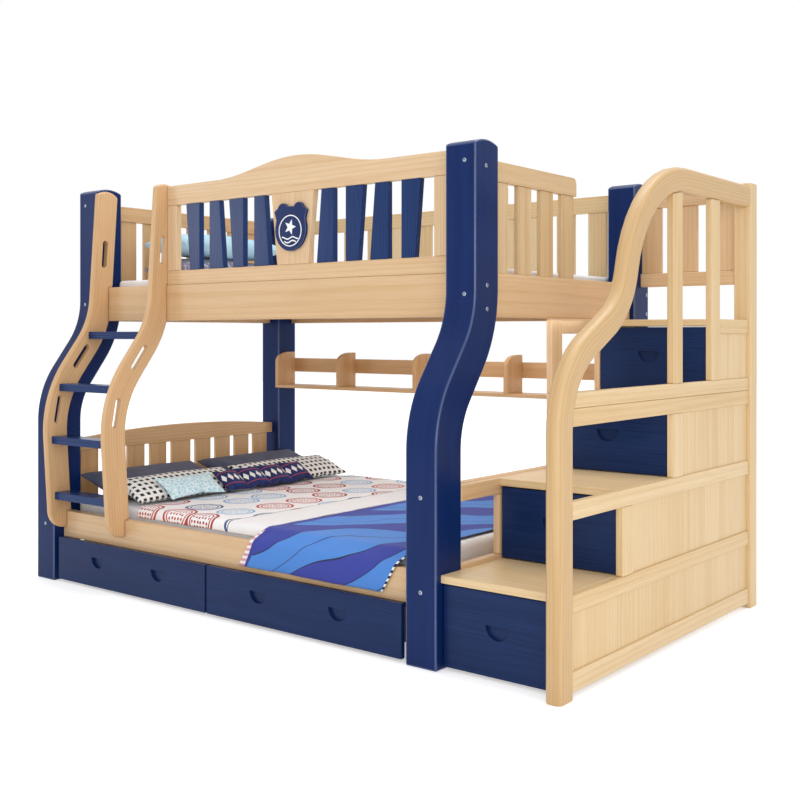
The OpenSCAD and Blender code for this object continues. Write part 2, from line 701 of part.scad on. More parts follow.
// Ladder
function mid_at(z) = at_height(ladder_line, z);
module hand_slot(z) translate([mid_at(z)[0], z]) rotate(-mid_at(z)[2]) {
    straight_l = hand_slot_l - hand_slot_w;
    square([hand_slot_w, straight_l], center = true);
    for (s = [-1, 1]) translate([0, s*straight_l/2]) circle(hand_slot_w/2);
}
// The rail sits over both side rails, and its front lower corner is rounded off
module ladder_rail(x) color(wood) place() along_x(x, ladder_t) difference() {
    polygon(capped(ladder_line, ladder_w, ladder_arch));
    translate([up_y - rest, up_rail_z - 200]) square([200, up_rail_h + 200 + rest]);
    translate([low_y - rest, 0]) square([200, low_rail_top + rest]);
    foot_corner();
    for (z = slot_z) hand_slot(z);
}
module foot_corner() {
    r = 78;
    front = beside(mid_at(ladder_foot_z + r), -ladder_w/2)[0];
    difference() {
        translate([front - 20, ladder_foot_z - 20]) square([r + 20, r + 20]);
        translate([front + r, ladder_foot_z + r]) circle(r, $fn = 96);
    }
}
module ladder_rail_left() ladder_rail(left_in);
module ladder_rail_right() ladder_rail(ladder_right_x);
rung_z = [rung_low_z, rung_low_z + rung_first_pitch, rung_low_z + rung_first_pitch + rung_pitch,
    rung_low_z + rung_first_pitch + 2*rung_pitch];
module ladder_rungs() color(paint) place() for (z = rung_z)
    let (y = beside(mid_at(z), -ladder_w/2/cos(mid_at(z)[2]))[0] + 26)
    box([left_in + ladder_t, y, z - rung_h/2], [ladder_right_x, y + rung_d, z + rung_h/2]);

// Shelf over the lower bunk
shelf_back_y = back_rail_y + shelf_behind;
shelf_y = shelf_back_y - shelf_d;
bay_x = [0, shelf_bays[0] + divider_t, shelf_bays[0] + shelf_bays[1] + 2*divider_t,
    shelf_bays[0] + shelf_bays[1] + shelf_bays[2] + 3*divider_t];
shelf_back_t = 18;
module shelf_board() color(wood) place()
    box([left_in, shelf_y, shelf_z - shelf_t], [right_in, shelf_back_y, shelf_z]);
divider_round = [88, 48];
module shelf_dividers() color(wood) place() {
    d = shelf_d - shelf_back_t;
    for (x = concat([for (b = bay_x) left_in + b], [right_in - divider_t])) along_x(x, divider_t)
        translate([shelf_y, shelf_z]) polygon(concat([[0, 0], [d, 0], [d, divider_h]],
            [for (a = [90:9:180]) [divider_round[0]*(1 + cos(a)),
                divider_h - divider_round[1]*(1 - sin(a))]]));
}
module shelf_back_rail() color(wood) place()
    box([left_in, shelf_back_y - shelf_back_t, shelf_z + shelf_back_lift],
        [right_in, shelf_back_y, shelf_z + shelf_back_lift + shelf_back_h]);

// Steps: posts and handrail
hand_x = stair_w - hand_t;
module stair_handrail() color(wood) place() handrail_body();
module stair_rear_post() color(wood) place()
    box([stair_w - rear_post_w, rear_post_y, 0], [stair_w, rear_post_y + rear_post_d, rear_post_h]);

// Outer side frame
outer_x = stair_w - frame_inset - frame_t;
side_front_y = hand_y + hand_w/2;
function frame_rail_z(i) = tread_z(i) - side_rail_h;
module frame_box(x, y0, y1, z0, z1) box([x, y0, z0], [x + frame_t, y1, z1]);
module handrail_body() along_x(hand_x, hand_t) polygon(band(hand_line, hand_w));
module stair_outer_frame() color(wood) place() difference() {
    outer_frame_parts();
    handrail_body();
}
module outer_frame_parts() {
    rail5_y = tread_4_y + stile_w;
    frame_box(outer_x, side_front_y, rear_post_y, side_foot, side_foot + side_rail_h + 6);
    for (i = [0:2]) frame_box(outer_x, side_front_y, rear_post_y, frame_rail_z(i), tread_z(i));
    frame_box(outer_x, side_front_y, rear_post_y, tread_z(2) + fit, baluster_z);
    frame_box(outer_x, rail5_y + fit, rear_post_y, frame_rail_z(3), tread_z(3));
    frame_box(outer_x, tread_2_y, tread_2_y + stile_w, tread_z(0) + fit, frame_rail_z(1) - fit);
    frame_box(outer_x, tread_3_y, tread_3_y + stile_w, tread_z(1) + fit, frame_rail_z(2) - fit);
    baluster(tread_3_y);
    baluster(tread_4_y);
}
baluster_z = tread_z(2) + side_rail_h - 6;
module baluster(y) along_x(outer_x, frame_t) difference() {
    translate([y, baluster_z + fit]) square([stile_w, post_h - baluster_z]);
    polygon(concat([for (p = hand_line) beside(p, hand_w/2)], [[rear_post_y, 2*post_h], [hand_y, 2*post_h]]));
}
module side_panel(x, y, z0, z1, y1) box([x + (frame_t - panel_t)/2, y, z0],
    [x + (frame_t + panel_t)/2, y1, z1]);
module stair_outer_panels() color(wood) place() {
    side_panel(outer_x, side_front_y, side_foot + side_rail_h + 6, frame_rail_z(0), rear_post_y);
    side_panel(outer_x, tread_2_y + stile_w, tread_z(0), frame_rail_z(1), rear_post_y);
    side_panel(outer_x, tread_3_y + stile_w, tread_z(1), frame_rail_z(2), rear_post_y);
    side_panel(outer_x, tread_4_y + stile_w, baluster_z, frame_rail_z(3), rear_post_y);
}

// Inner side frame, between the right posts
inner_x = -frame_t;
inner_lip = 14;
inner_stile_1 = tread_2_y + 2;
inner_stile_2 = tread_3_y - 22;
inner_stile_3 = tread_4_y + 14;
module inner_stile(y, z0, z1) frame_box(inner_x, y, y + stile_w, z0 + fit, z1 - fit);
module stair_inner_frame() color(wood) place() difference() {
    union() {
        frame_box(inner_x, 0, back_y, side_foot, side_foot + side_rail_h + 6);
        frame_box(inner_x, 0, back_y, frame_rail_z(0), tread_z(0) + inner_lip);
        frame_box(inner_x, 0, back_y, frame_rail_z(1), tread_z(1));
        frame_box(inner_x, inner_stile_2, back_y, frame_rail_z(2), tread_z(2));
        frame_box(inner_x, inner_stile_2 + stile_w + fit, back_y, frame_rail_z(3), up_rail_z);
        inner_stile(inner_stile_1, tread_z(0) + inner_lip, frame_rail_z(1));
        inner_stile(inner_stile_2, tread_z(1), frame_rail_z(2));
        inner_stile(inner_stile_2, tread_z(2), up_rail_z);
        inner_stile(inner_stile_3, tread_z(2), frame_rail_z(3));
    }
    along_x(-post_w, 2*post_w) front_post_outline();
}
module stair_inner_panels() color(wood) place() {
    side_panel(inner_x, post_d, side_foot + side_rail_h + 6, frame_rail_z(0), back_y);
    side_panel(inner_x, inner_stile_1 + stile_w, tread_z(0) + inner_lip, frame_rail_z(1), back_y);
    side_panel(inner_x, inner_stile_2 + stile_w, tread_z(1), frame_rail_z(2), back_y);
    side_panel(inner_x, inner_stile_3 + stile_w, tread_z(2), frame_rail_z(3), back_y);
}

// Treads: each runs from its nose to a little behind the next riser, the top one to the back
tread_lap = 60;
function tread_end(i) = i == 3 ? rear_post_y : tread_y(i + 1) + tread_lap;
module stair_treads() color(wood) place() difference() {
    for (i = [0:3]) box([0, tread_y(i), tread_z(i) - tread_t], [outer_x, tread_end(i), tread_z(i)]);
    handrail_body();
}

// Guard behind the top step
stair_guard_y = rear_post_y + 12;
stair_guard_z = up_rail_top - 15;
module stair_guard() color(wood) place() {
    span = stair_w - rear_post_w;
    along_y(stair_guard_y, guard_t) {
        translate([0, stair_guard_z]) square([span, top_guard_rail_h]);
        translate([0, side_guard_z - 6]) square([span, top_guard_rail_h]);
    }
    along_y(stair_guard_y + (guard_t - slat_t)/2, slat_t)
        slat_row(span, 4, 3, slat_w, stair_guard_z + top_guard_rail_h + fit, side_guard_z - 6 - fit);
}

// Drawer runners: a pair of strips along the side frames under every box
runner_w = 22;
runner_h = 16;
runner_tops = [for (i = [0:3]) i == 0 ? bed_front_lift + 30 : tread_z(i - 1) + front_gap];
function box_d(i) = i == 3 ? top_box_d : step_box_d;
function front_y(i) = tread_y(i) + riser_back;
module stair_runners() color(wood) place() for (i = [0:3]) {
    y0 = i == 0 ? front_y(0) + front_t + 20 : tread_end(i - 1);
    y1 = front_y(i) + front_t + box_d(i) + (i == 3 ? 0 : 60);
    for (x = [0, outer_x - runner_w])
        box([x, y0, runner_tops[i] - runner_h], [x + runner_w, min(y1, back_y), runner_tops[i]]);
}

// Step drawers
step_front_x0 = front_gap;
step_front_x1 = outer_x - front_gap;
function front_z0(i) = i == 0 ? bed_front_lift : tread_z(i - 1) + front_gap;
function front_z1(i) = tread_z(i) - tread_t - front_gap;
module half_moon(x, top) translate([x, top]) intersection() {
    circle(pull_r, $fn = 64);
    translate([-pull_r, -pull_r]) square([2*pull_r, pull_r]);
}
module step_front(i) color(paint) place() difference() {
    box([step_front_x0, front_y(i), front_z0(i)],
        [i == 0 ? hand_x - front_gap : step_front_x1, front_y(i) + front_t, front_z1(i)]);
    along_y(front_y(i) - 1, pull_depth + 1)
        half_moon(outer_x/2 - 12, (front_z0(i) + front_z1(i))/2 + 28);
}
// A box of five boards, open at the top; base is the height of its underside
module drawer_box(x0, x1, y0, d, base, h) {
    in0 = x0 + side_t + fit;
    in1 = x1 - side_t - fit;
    for (x = [x0, x1 - side_t]) box([x, y0, base], [x + side_t, y0 + d, base + h]);
    for (y = [y0, y0 + d - side_t]) box([in0, y, base], [in1, y + side_t, base + h]);
    box([in0, y0 + side_t + fit, base], [in1, y0 + d - side_t - fit, base + 6]);
}
module step_box(i) color(wood) place()
    drawer_box(8, i == 0 ? hand_x - 8 : outer_x - 8, front_y(i) + front_t, box_d(i),
        runner_tops[i] + rest, front_z1(i) - 40 - runner_tops[i]);
module step_drawer_1_front() step_front(0);
module step_drawer_1_box() step_box(0);
module step_drawer_2_front() step_front(1);
module step_drawer_2_box() step_box(1);
module step_drawer_3_front() step_front(2);
module step_drawer_3_box() step_box(2);
module step_drawer_4_front() step_front(3);
module step_drawer_4_box() step_box(3);

// Under-bed drawers on wheels
function bed_front_x(left) = left ? bed_mid - front_split/2 - bed_front_l : bed_mid + front_split/2;
box_side = 24;
bed_box_z = 2*wheel_r + 8;
wheel_y = [bed_front_y + front_t + 70, bed_front_y + front_t + bed_box_d - 70];
function wheel_x(left) = [bed_front_x(left) + 120, bed_front_x(left) + bed_front_l - 120];
module bed_front(left) color(paint) place() difference() {
    box([bed_front_x(left), bed_front_y, bed_front_lift],
        [bed_front_x(left) + bed_front_l, bed_front_y + front_t, bed_front_lift + bed_front_h]);
    for (s = [-1, 1]) along_y(bed_front_y - 1, pull_depth + 1)
        half_moon(bed_front_x(left) + bed_front_l/2 + s*pull_pitch/2, bed_front_lift + 123);
}
// A bracket under the box: a plate with two cheeks and the axle pin across them
module wheel_bracket(x, y) {
    cheek = 3;
    w = wheel_w/2 + 2;
    box([x - w - cheek, y - 16, bed_box_z - 4], [x + w + cheek, y + 16, bed_box_z - fit]);
    for (s = [-1, 1]) box([x + (s < 0 ? -w - cheek : w), y - 9, wheel_r - 7],
        [x + (s < 0 ? -w : w + cheek), y + 9, bed_box_z - 4]);
    translate([x - w - cheek, y, wheel_r]) rotate([0, 90, 0]) cylinder(2*(w + cheek), r = axle_r);
}
module bed_box(left) color(wood) place() {
    drawer_box(bed_front_x(left) + box_side, bed_front_x(left) + bed_front_l - box_side,
        bed_front_y + front_t, bed_box_d, bed_box_z, bed_box_h);
    for (x = wheel_x(left), y = wheel_y) wheel_bracket(x, y);
}
module bed_wheels(left, y) color("#3A3D42") place() for (x = wheel_x(left))
    translate([x - wheel_w/2, y, wheel_r]) rotate([0, 90, 0]) difference() {
        cylinder(wheel_w, r = wheel_r);
        translate([0, 0, -1]) cylinder(wheel_w + 2, r = axle_r + run_fit);
    }
module bed_drawer_left_front() bed_front(true);
module bed_drawer_left_box() bed_box(true);
module bed_drawer_left_front_wheels() bed_wheels(true, wheel_y[0]);
module bed_drawer_left_rear_wheels() bed_wheels(true, wheel_y[1]);
module bed_drawer_right_front() bed_front(false);
module bed_drawer_right_box() bed_box(false);
module bed_drawer_right_front_wheels() bed_wheels(false, wheel_y[0]);
module bed_drawer_right_rear_wheels() bed_wheels(false, wheel_y[1]);

module bolts() color(steel) place() for (b = all_bolts) bolt(b);

// A stuffed pillow: crowned above and below, its sides drawn in between the corners
ring_n = 32;
crown = [1, 0.97, 0.88, 0.68, 0.36];
function pillow_edge(a, l, w, s) =
    let (k = 1 - 0.05*pow(cos(2*a), 2), e = 0.42,
        c = sign(cos(a))*pow(abs(cos(a)), e), t = sign(sin(a))*pow(abs(sin(a)), e))
    [s*k*l/2*c, s*k*w/2*t];
function pillow_z(s, h) = h/2*pow(1 - pow(s, 3), 0.55);
function pillow_ring(l, w, h, s, up) = [for (i = [0:ring_n - 1])
    let (p = pillow_edge(360*i/ring_n, l, w, s)) [p[0], p[1], up*pillow_z(s, h)]];
function pillow_points(l, w, h) = concat([[0, 0, -h/2]],
    [for (k = [len(crown) - 1:-1:1]) each pillow_ring(l, w, h, crown[k], -1)],
    pillow_ring(l, w, h, 1, 0),
    [for (k = [1:len(crown) - 1]) each pillow_ring(l, w, h, crown[k], 1)],
    [[0, 0, h/2]]);
pillow_rows = 2*len(crown) - 1;
pillow_faces = concat(
    [for (i = [0:ring_n - 1]) [0, 1 + i, 1 + (i + 1)%ring_n]],
    [for (r = [0:pillow_rows - 2], i = [0:ring_n - 1])
        let (a = 1 + r*ring_n + i, b = 1 + r*ring_n + (i + 1)%ring_n) each
        [[a, a + ring_n, b], [b, a + ring_n, b + ring_n]]],
    [for (i = [0:ring_n - 1]) let (o = 1 + (pillow_rows - 1)*ring_n)
        [o + ring_n, o + (i + 1)%ring_n, o + i]]);
module pillow(at, size, tilt, turn = 0) place() translate(at) rotate([0, tilt, turn])
    polyhedron(pillow_points(size[0], size[1], size[2]), pillow_faces, convexity = 4);

// Pillows against the headboard, checked pillows in front of them, two on the upper bunk
function across(k) = side_y + k*(back_rail_y - mattress_gap - side_y);
rear_lift = 0.73*rear_pillow_t;
front_lift = 0.757*front_pillow_t;
top_pillow_in = 110;
module pillows() color(slate) {
    for (k = [0.25, 0.75]) {
        pillow([left_in + rear_pillow_l/2 - 14, across(k), low_mattress_top + rear_lift],
            [rear_pillow_l, pillow_w, rear_pillow_t], 18);
        pillow([left_in + rear_pillow_l + front_pillow_l/2 - 77, across(k),
            low_mattress_top + front_lift], [front_pillow_l, pillow_w, front_pillow_t], 20);
    }
    for (k = [0, 1]) pillow([left_in + mattress_gap + top_pillow_l/2,
        post_back_y + top_pillow_in + pillow_w/2,
        up_mattress_z + up_mattress_t + (k + 0.5)*top_pillow_t + (k + 1)*rest],
        [top_pillow_l, pillow_w, top_pillow_t], 0);
}
cushion_x = left_in + rear_pillow_l + front_pillow_l - 82;
cushion_y = [side_y + 142 + cushion_w[0]/2, side_y + 154 + cushion_w[0] + cushion_w[1]/2];
cushion_lift = [1.328*cushion_t, 1.296*cushion_t];
module cushions() color(linen) for (i = [0, 1])
    pillow([cushion_x, cushion_y[i], low_mattress_top + cushion_lift[i]],
        [cushion_l, cushion_w[i], cushion_t], 34);

// Bed cover and throw: a band of cloth that follows a (y, z) path, extruded along the bed
throw_x = [right_in - throw_gap - throw_l, right_in - throw_gap];
cover_x = [throw_x[0] - mattress_gap - cover_l, throw_x[0] - mattress_gap];
cloth_r = cloth_t/2 + rest;
cloth_end = back_rail_y - mattress_gap - side_y - 20;
module cloth(x, p, steps) color(linen) place() along_x(x[0], x[1] - x[0])
    polygon(band(line_of(p, steps), cloth_t));
// The cover is tucked in beside the mattress
tuck_z = low_rail_top + 6;
module bed_cover() cloth(cover_x, [side_y - cloth_r, tuck_z, 0],
    [[low_mattress_top - tuck_z, 0], [cloth_r, 90], [cloth_end, 0]]);
// The throw hangs in front of the rail and rises over its edge to the mattress
throw_low = bed_front_lift + bed_front_h + 14;
throw_rise = [side_y - low_y, low_mattress_top - low_rail_top];
throw_lean = atan2(throw_rise[0], throw_rise[1]);
module throw() color("#4F86D6") cloth(throw_x, [low_y - cloth_r, throw_low, 0],
    [[low_rail_top - throw_low, 0], [cloth_r, throw_lean], [norm(throw_rise), 0],
     [cloth_r, 90 - throw_lean], [cloth_end, 0]]);

post_front_left();
post_front_right();
post_back_left();
post_back_right();
lower_rail_front();
lower_rail_back();
headboard();
foot_rails();
lower_center_beam();
lower_slats();
lower_mattress();
upper_rail_front();
upper_rail_back();
upper_beam_left();
upper_beam_right();
upper_slats();
upper_mattress();
guard_front_frame();
guard_front_panel();
guard_front_slats();
guard_shield();
guard_back();
guard_left();
guard_right();
ladder_rail_left();
ladder_rail_right();
ladder_rungs();
shelf_board();
shelf_dividers();
shelf_back_rail();
stair_handrail();
stair_rear_post();
stair_outer_frame();
stair_outer_panels();
stair_inner_frame();
stair_inner_panels();
stair_treads();
stair_guard();
stair_runners();
step_drawer_1_front();
step_drawer_1_box();
step_drawer_2_front();
step_drawer_2_box();
step_drawer_3_front();
step_drawer_3_box();
step_drawer_4_front();
step_drawer_4_box();
bed_drawer_left_front();
bed_drawer_left_box();
bed_drawer_left_front_wheels();
bed_drawer_left_rear_wheels();
bed_drawer_right_front();
bed_drawer_right_box();
bed_drawer_right_front_wheels();
bed_drawer_right_rear_wheels();
bolts();
pillows();
cushions();
bed_cover();
throw();
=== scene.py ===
import bpy
import bmesh
import json
import math
import random
from mathutils import Matrix, Vector, noise

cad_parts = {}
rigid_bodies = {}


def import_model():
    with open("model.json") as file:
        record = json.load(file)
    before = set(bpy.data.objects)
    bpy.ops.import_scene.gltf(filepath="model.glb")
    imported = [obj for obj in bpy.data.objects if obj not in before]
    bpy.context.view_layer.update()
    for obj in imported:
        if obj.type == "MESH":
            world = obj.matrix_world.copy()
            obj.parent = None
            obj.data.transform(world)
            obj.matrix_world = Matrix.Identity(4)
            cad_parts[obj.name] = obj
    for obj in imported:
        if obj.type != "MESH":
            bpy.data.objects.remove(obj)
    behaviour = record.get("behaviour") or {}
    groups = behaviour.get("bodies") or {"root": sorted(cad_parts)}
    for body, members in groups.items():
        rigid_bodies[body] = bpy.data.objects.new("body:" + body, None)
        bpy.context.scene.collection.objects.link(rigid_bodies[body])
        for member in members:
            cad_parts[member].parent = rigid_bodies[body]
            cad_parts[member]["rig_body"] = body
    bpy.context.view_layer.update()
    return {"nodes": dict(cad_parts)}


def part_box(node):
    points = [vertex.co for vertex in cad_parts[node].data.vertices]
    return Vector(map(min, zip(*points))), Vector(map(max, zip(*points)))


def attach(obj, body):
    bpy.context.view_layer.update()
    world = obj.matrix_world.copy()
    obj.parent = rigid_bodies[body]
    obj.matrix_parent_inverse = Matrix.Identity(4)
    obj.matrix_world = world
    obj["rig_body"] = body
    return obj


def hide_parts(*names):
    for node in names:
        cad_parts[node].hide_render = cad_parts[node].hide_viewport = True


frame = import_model()
nodes = frame["nodes"]
scene = bpy.context.scene
mm = 0.001

# Places are written as on the drawing: millimetres from the right posts' outer face,
# the front of the posts' feet and the floor
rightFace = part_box("post_front_right")[1].x
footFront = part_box("post_front_right")[0].y


def at(x, y, z):
    return Vector((rightFace + x * mm, footFront + y * mm, z * mm))


def linear(code):  # sRGB hex to linear colour
    parts = [int(code[i:i + 2], 16) / 255 for i in (1, 3, 5)]
    return tuple(c / 12.92 if c <= 0.04045 else ((c + 0.055) / 1.055) ** 2.4 for c in parts) + (1,)


def add(tree, kind, inputs=None, stops=None, **settings):
    made = tree.nodes.new(kind)
    for name, value in settings.items():
        setattr(made, name, value)
    for key, value in (inputs or {}).items():
        if isinstance(value, bpy.types.NodeSocket):
            tree.links.new(value, made.inputs[key])
        else:
            made.inputs[key].default_value = value
    if stops:
        ramp = made.color_ramp
        while len(ramp.elements) < len(stops):
            ramp.elements.new(0.5)
        for element, (place, colour) in zip(ramp.elements, stops):
            element.position = place
            element.color = linear(colour) if isinstance(colour, str) else (colour,) * 3 + (1,)
    return made


def newMaterial(name, **settings):
    material = bpy.data.materials.new(name)
    material.use_nodes = True
    shader = material.node_tree.nodes["Principled BSDF"]
    for key, value in settings.items():
        shader.inputs[key.replace("_", " ")].default_value = value
    return material, material.node_tree, shader


def maths(tree, operation, *values):
    return add(tree, "ShaderNodeMath", dict(enumerate(values)), operation=operation).outputs[0]


def mixed(tree, factor, a, b, blend="MIX"):
    made = add(tree, "ShaderNodeMix", {0: factor, 6: a, 7: b}, data_type="RGBA", blend_type=blend)
    return made.outputs[2]


def bumped(tree, shader, height, distance, strength):
    bump = add(tree, "ShaderNodeBump",
               {"Height": height, "Distance": distance, "Strength": strength})
    tree.links.new(bump.outputs[0], shader.inputs["Normal"])


def stretched(tree, place, scale):
    return add(tree, "ShaderNodeMapping", {"Vector": place, "Scale": scale}).outputs[0]


def clouded(tree, place, detail, scale=1.0):
    cloud = add(tree, "ShaderNodeTexNoise", {"Vector": place, "Scale": scale, "Detail": detail})
    return cloud.outputs["Fac"]


def toned(tree, share, stops):
    return add(tree, "ShaderNodeValToRGB", {0: share}, stops=stops).outputs[0]


waveUnit = 0.314  # a wave texture of scale 1 repeats after this many metres


def pine(name, look):
    # Lacquered pine: pale, straight grained, each board with its own tone, satin and smooth
    material, tree, shader = newMaterial(name, Roughness=look["roughness"], Coat_Weight=0.05,
                                         Coat_Roughness=0.25, Specular_IOR_Level=0.35)
    grain = add(tree, "ShaderNodeAttribute", attribute_name="grain").outputs["Vector"]
    tone = add(tree, "ShaderNodeAttribute", attribute_name="tone").outputs["Fac"]
    parts = add(tree, "ShaderNodeSeparateXYZ", {0: grain})
    strip = maths(tree, "FLOOR", maths(tree, "DIVIDE", parts.outputs["Y"], look["strip"] * mm))
    chance = add(tree, "ShaderNodeTexWhiteNoise", {"W": strip}, noise_dimensions="1D").outputs[0]
    stripTone = maths(tree, "MULTIPLY", chance, look["stripShare"])
    shift = add(tree, "ShaderNodeCombineXYZ", {"X": chance, "Y": stripTone}).outputs[0]
    placed = add(tree, "ShaderNodeVectorMath", {0: grain, 1: shift}, operation="ADD").outputs[0]
    rings = add(tree, "ShaderNodeTexWave",
                {"Vector": stretched(tree, placed, (look["ringDraw"], 1, 1)),
                 "Scale": waveUnit / (look["ringPitch"] * mm), "Distortion": look["ringWander"],
                 "Detail": 2.0, "Detail Scale": 0.5},
                wave_type="RINGS", rings_direction="X").outputs["Fac"]
    fibres = clouded(tree, stretched(tree, placed, look["fibre"]), 3.0)
    clouds = clouded(tree, stretched(tree, placed, look["cloud"]), 2.0)
    wood = mixed(tree, look["cloudShare"], toned(tree, rings, look["ringStops"]),
                 toned(tree, clouds, look["cloudStops"]))
    wood = mixed(tree, look["fibreShare"], wood, toned(tree, fibres, look["fibreStops"]),
                 "MULTIPLY")
    boardTone = maths(tree, "MULTIPLY", tone, 1 - look["stripShare"])
    shade = toned(tree, maths(tree, "ADD", boardTone, stripTone), look["toneStops"])
    tree.links.new(mixed(tree, 1.0, wood, shade, "MULTIPLY"), shader.inputs["Base Color"])
    bumped(tree, shader, fibres, 0.25 * mm, 0.25)
    return material


pineLook = {
    "roughness": 0.40, "strip": 900, "stripShare": 0.4, "cloudShare": 0.5, "fibreShare": 0.30,
    # Growth rings 13 mm apart, drawn as coarse as they need to show at this size
    "ringPitch": 13, "ringWander": 7.0, "ringDraw": 0.05,
    # Fibres 120 mm long and 3 mm wide, clouds 0.7 m long and 40 mm wide: how many to a metre
    "fibre": (8, 330, 330), "cloud": (1.5, 26, 26),
    "ringStops": [(0.0, "#E8CDAA"), (0.5, "#E6CAA6"), (0.85, "#E1C29B"), (1.0, "#DCBA91")],
    "cloudStops": [(0.3, "#DFC099"), (0.7, "#E8CDAA")],
    "fibreStops": [(0.3, "#E6D6BF"), (0.6, "#FFFFFF")],
    "toneStops": [(0.0, "#F4E9DA"), (1.0, "#FFFFFF")],
}
pineBoard = pine("lacquered pine", pineLook)
# Boards glued up of strips 62 mm wide, which show as faint steps of tone
pinePanel = pine("lacquered pine, glued up", {**pineLook, "strip": 62,
                 "toneStops": [(0.0, "#EFE2D0"), (1.0, "#FFFFFF")]})
# Boards of deeper, honey-coloured pine: ladder, left guard, headboard and shelf
pineHoney = pine("lacquered pine, honey", {
    **pineLook, "fibreStops": [(0.3, "#E2D0B4"), (0.6, "#FFFFFF")],
    "ringStops": [(0.0, "#DDBA90"), (0.5, "#DAB68B"), (0.85, "#D4AD80"), (1.0, "#CDA476")],
    "cloudStops": [(0.3, "#D1AB7D"), (0.7, "#DCB88D")]})
# The stair's handrail and the guard beside it lie between the two
pineStair = pine("lacquered pine, handrail", {
    **pineLook, "strip": 30, "toneStops": [(0.0, "#EEDFC8"), (1.0, "#FFFFFF")],
    "ringStops": [(0.0, "#DFC8A4"), (0.5, "#DCC49F"), (0.85, "#D6BB92"), (1.0, "#CEB084")],
    "cloudStops": [(0.3, "#D4BA93"), (0.7, "#DDC7A3")]})
# The stair's side, its treads and the back guard are of the palest boards
pinePale = pine("lacquered pine, pale", {
    **pineLook, "strip": 62, "toneStops": [(0.0, "#EFE4D0"), (1.0, "#FFFFFF")],
    "ringStops": [(0.0, "#EAD4AE"), (0.5, "#E8D1AA"), (0.85, "#E3C99F"), (1.0, "#DEC195")],
    "cloudStops": [(0.3, "#E1C79D"), (0.7, "#EAD4AE")]})
# The inside boards of the drawers: the same pine with a thinner lacquer
pineDull = pine("sealed pine", {**pineLook, "roughness": 0.55})


def paintedWood(name, look):
    # Navy satin paint: the wood's fibres show through as faint lighter streaks
    material, tree, shader = newMaterial(name, Roughness=look["roughness"],
                                         Specular_IOR_Level=look["gloss"])
    grain = add(tree, "ShaderNodeAttribute", attribute_name="grain").outputs["Vector"]
    streaks = clouded(tree, stretched(tree, grain, look["streak"]), 4.0)
    bands = clouded(tree, stretched(tree, grain, look["band"]), 2.0)
    paint = mixed(tree, 0.5, toned(tree, streaks, look["streakStops"]),
                  toned(tree, bands, look["bandStops"]))
    tree.links.new(paint, shader.inputs["Base Color"])
    # The streaks' dark parts are smoother than the light ones
    rough = add(tree, "ShaderNodeMapRange", {0: streaks, 3: look["roughness"] - 0.05,
                4: look["roughness"] + 0.07}).outputs[0]
    tree.links.new(rough, shader.inputs["Roughness"])
    bumped(tree, shader, streaks, 0.3 * mm, 0.3)
    return material


navyLook = {
    "roughness": 0.3, "gloss": 0.14,
    # Streaks 0.2 m long and 4 mm wide, bands 0.8 m long and 33 mm wide: how many to a metre
    "streak": (5, 260, 260), "band": (1.2, 30, 30),
    "streakStops": [(0.3, "#0A2050"), (0.75, "#102C66")],
    "bandStops": [(0.3, "#0A2152"), (0.7, "#102B62")],
}
navyPaint = paintedWood("navy paint on pine", navyLook)
# The slats and rungs: the same paint, smoother, and lighter in colour as a painted reflection of
# the bright surroundings on their fronts
navySlatPaintedReflection = paintedWood("navy paint, smooth slats with painted reflection", {**navyLook, "roughness": 0.26, "gloss": 0.2,
                       "streakStops": [(0.3, "#0E2A5A"), (0.75, "#173A72")],
                       "bandStops": [(0.3, "#102C5E"), (0.7, "#163669")]})
# Broad fronts, where the open grain shows through as greyer streaks
navyFront = paintedWood("navy paint on open-grained pine", {**navyLook, "streak": (5, 420, 420),
                        "streakStops": [(0.32, "#0A1D46"), (0.7, "#203865")],
                        "bandStops": [(0.3, "#0D214C"), (0.7, "#172E5D")]})
# The same paint on the eased edges, glossier, and lighter as a painted highlight that stands in for
# the light caught along the rounded corners
navyEdgeHighlight = paintedWood("navy paint, edge with painted highlight", {**navyLook, "roughness": 0.24, "gloss": 0.75,
                       "streakStops": [(0.3, "#17305F"), (0.75, "#24427A")],
                       "bandStops": [(0.3, "#183263"), (0.7, "#213D72")]})


def plain(name, colour, speck, size, **settings):
    # A plain finish whose colour varies a little, with specks of the given size in mm
    material, tree, shader = newMaterial(name, **settings)
    place = add(tree, "ShaderNodeTexCoord").outputs["Object"]
    specks = clouded(tree, place, 3.0, 1 / (size * mm))
    tree.links.new(toned(tree, specks, [(0.3, colour), (0.7, speck)]), shader.inputs["Base Color"])
    return material


# Zinc-plated steel, polished by use
zinc = plain("zinc plated steel", "#8B94A4", "#A3ABB8", 2, Metallic=1.0, Roughness=0.34)
# Painted shade: a dark hexagon on each bolt head stands in for the shade inside its hex socket
socketShade = plain("steel, dark as painted socket shade", "#2B2D31", "#36383D", 2, Metallic=0.6, Roughness=0.5)
# Moulded nylon, matte
nylon = plain("moulded black nylon", "#2E3034", "#3A3C41", 3, Roughness=0.55)
# White enamel on the shield's lines
enamel = plain("white enamel", "#EDEFF2", "#F6F7F8", 4, Roughness=0.35)


def grouped(items, neighbours):
    # The items in groups that hang together
    left, found = set(items), []
    while left:
        start = left.pop()
        group, queue = [start], [start]
        while queue:
            for one in neighbours(queue.pop()):
                if one in left:
                    left.remove(one)
                    group.append(one)
                    queue.append(one)
        found.append(group)
    return found


def islands(bm):
    # The vertices of each separate solid
    return grouped(bm.verts, lambda vert: [v for edge in vert.link_edges for v in edge.verts])


def extent(points):
    low = Vector([min(p[i] for p in points) for i in range(3)])
    high = Vector([max(p[i] for p in points) for i in range(3)])
    return low, high


def edgeLoops(bm, sharpest):
    # Groups of sharp edges that hang together, each with the size of its box
    sharp = [e for e in bm.edges if len(e.link_faces) == 2 and e.calc_face_angle(0) > sharpest]
    groups = []
    for group in grouped(sharp, lambda edge: [e for v in edge.verts for e in v.link_edges]):
        low, high = extent([v.co for e in group for v in e.verts])
        groups.append((group, (high - low).length))
    return groups


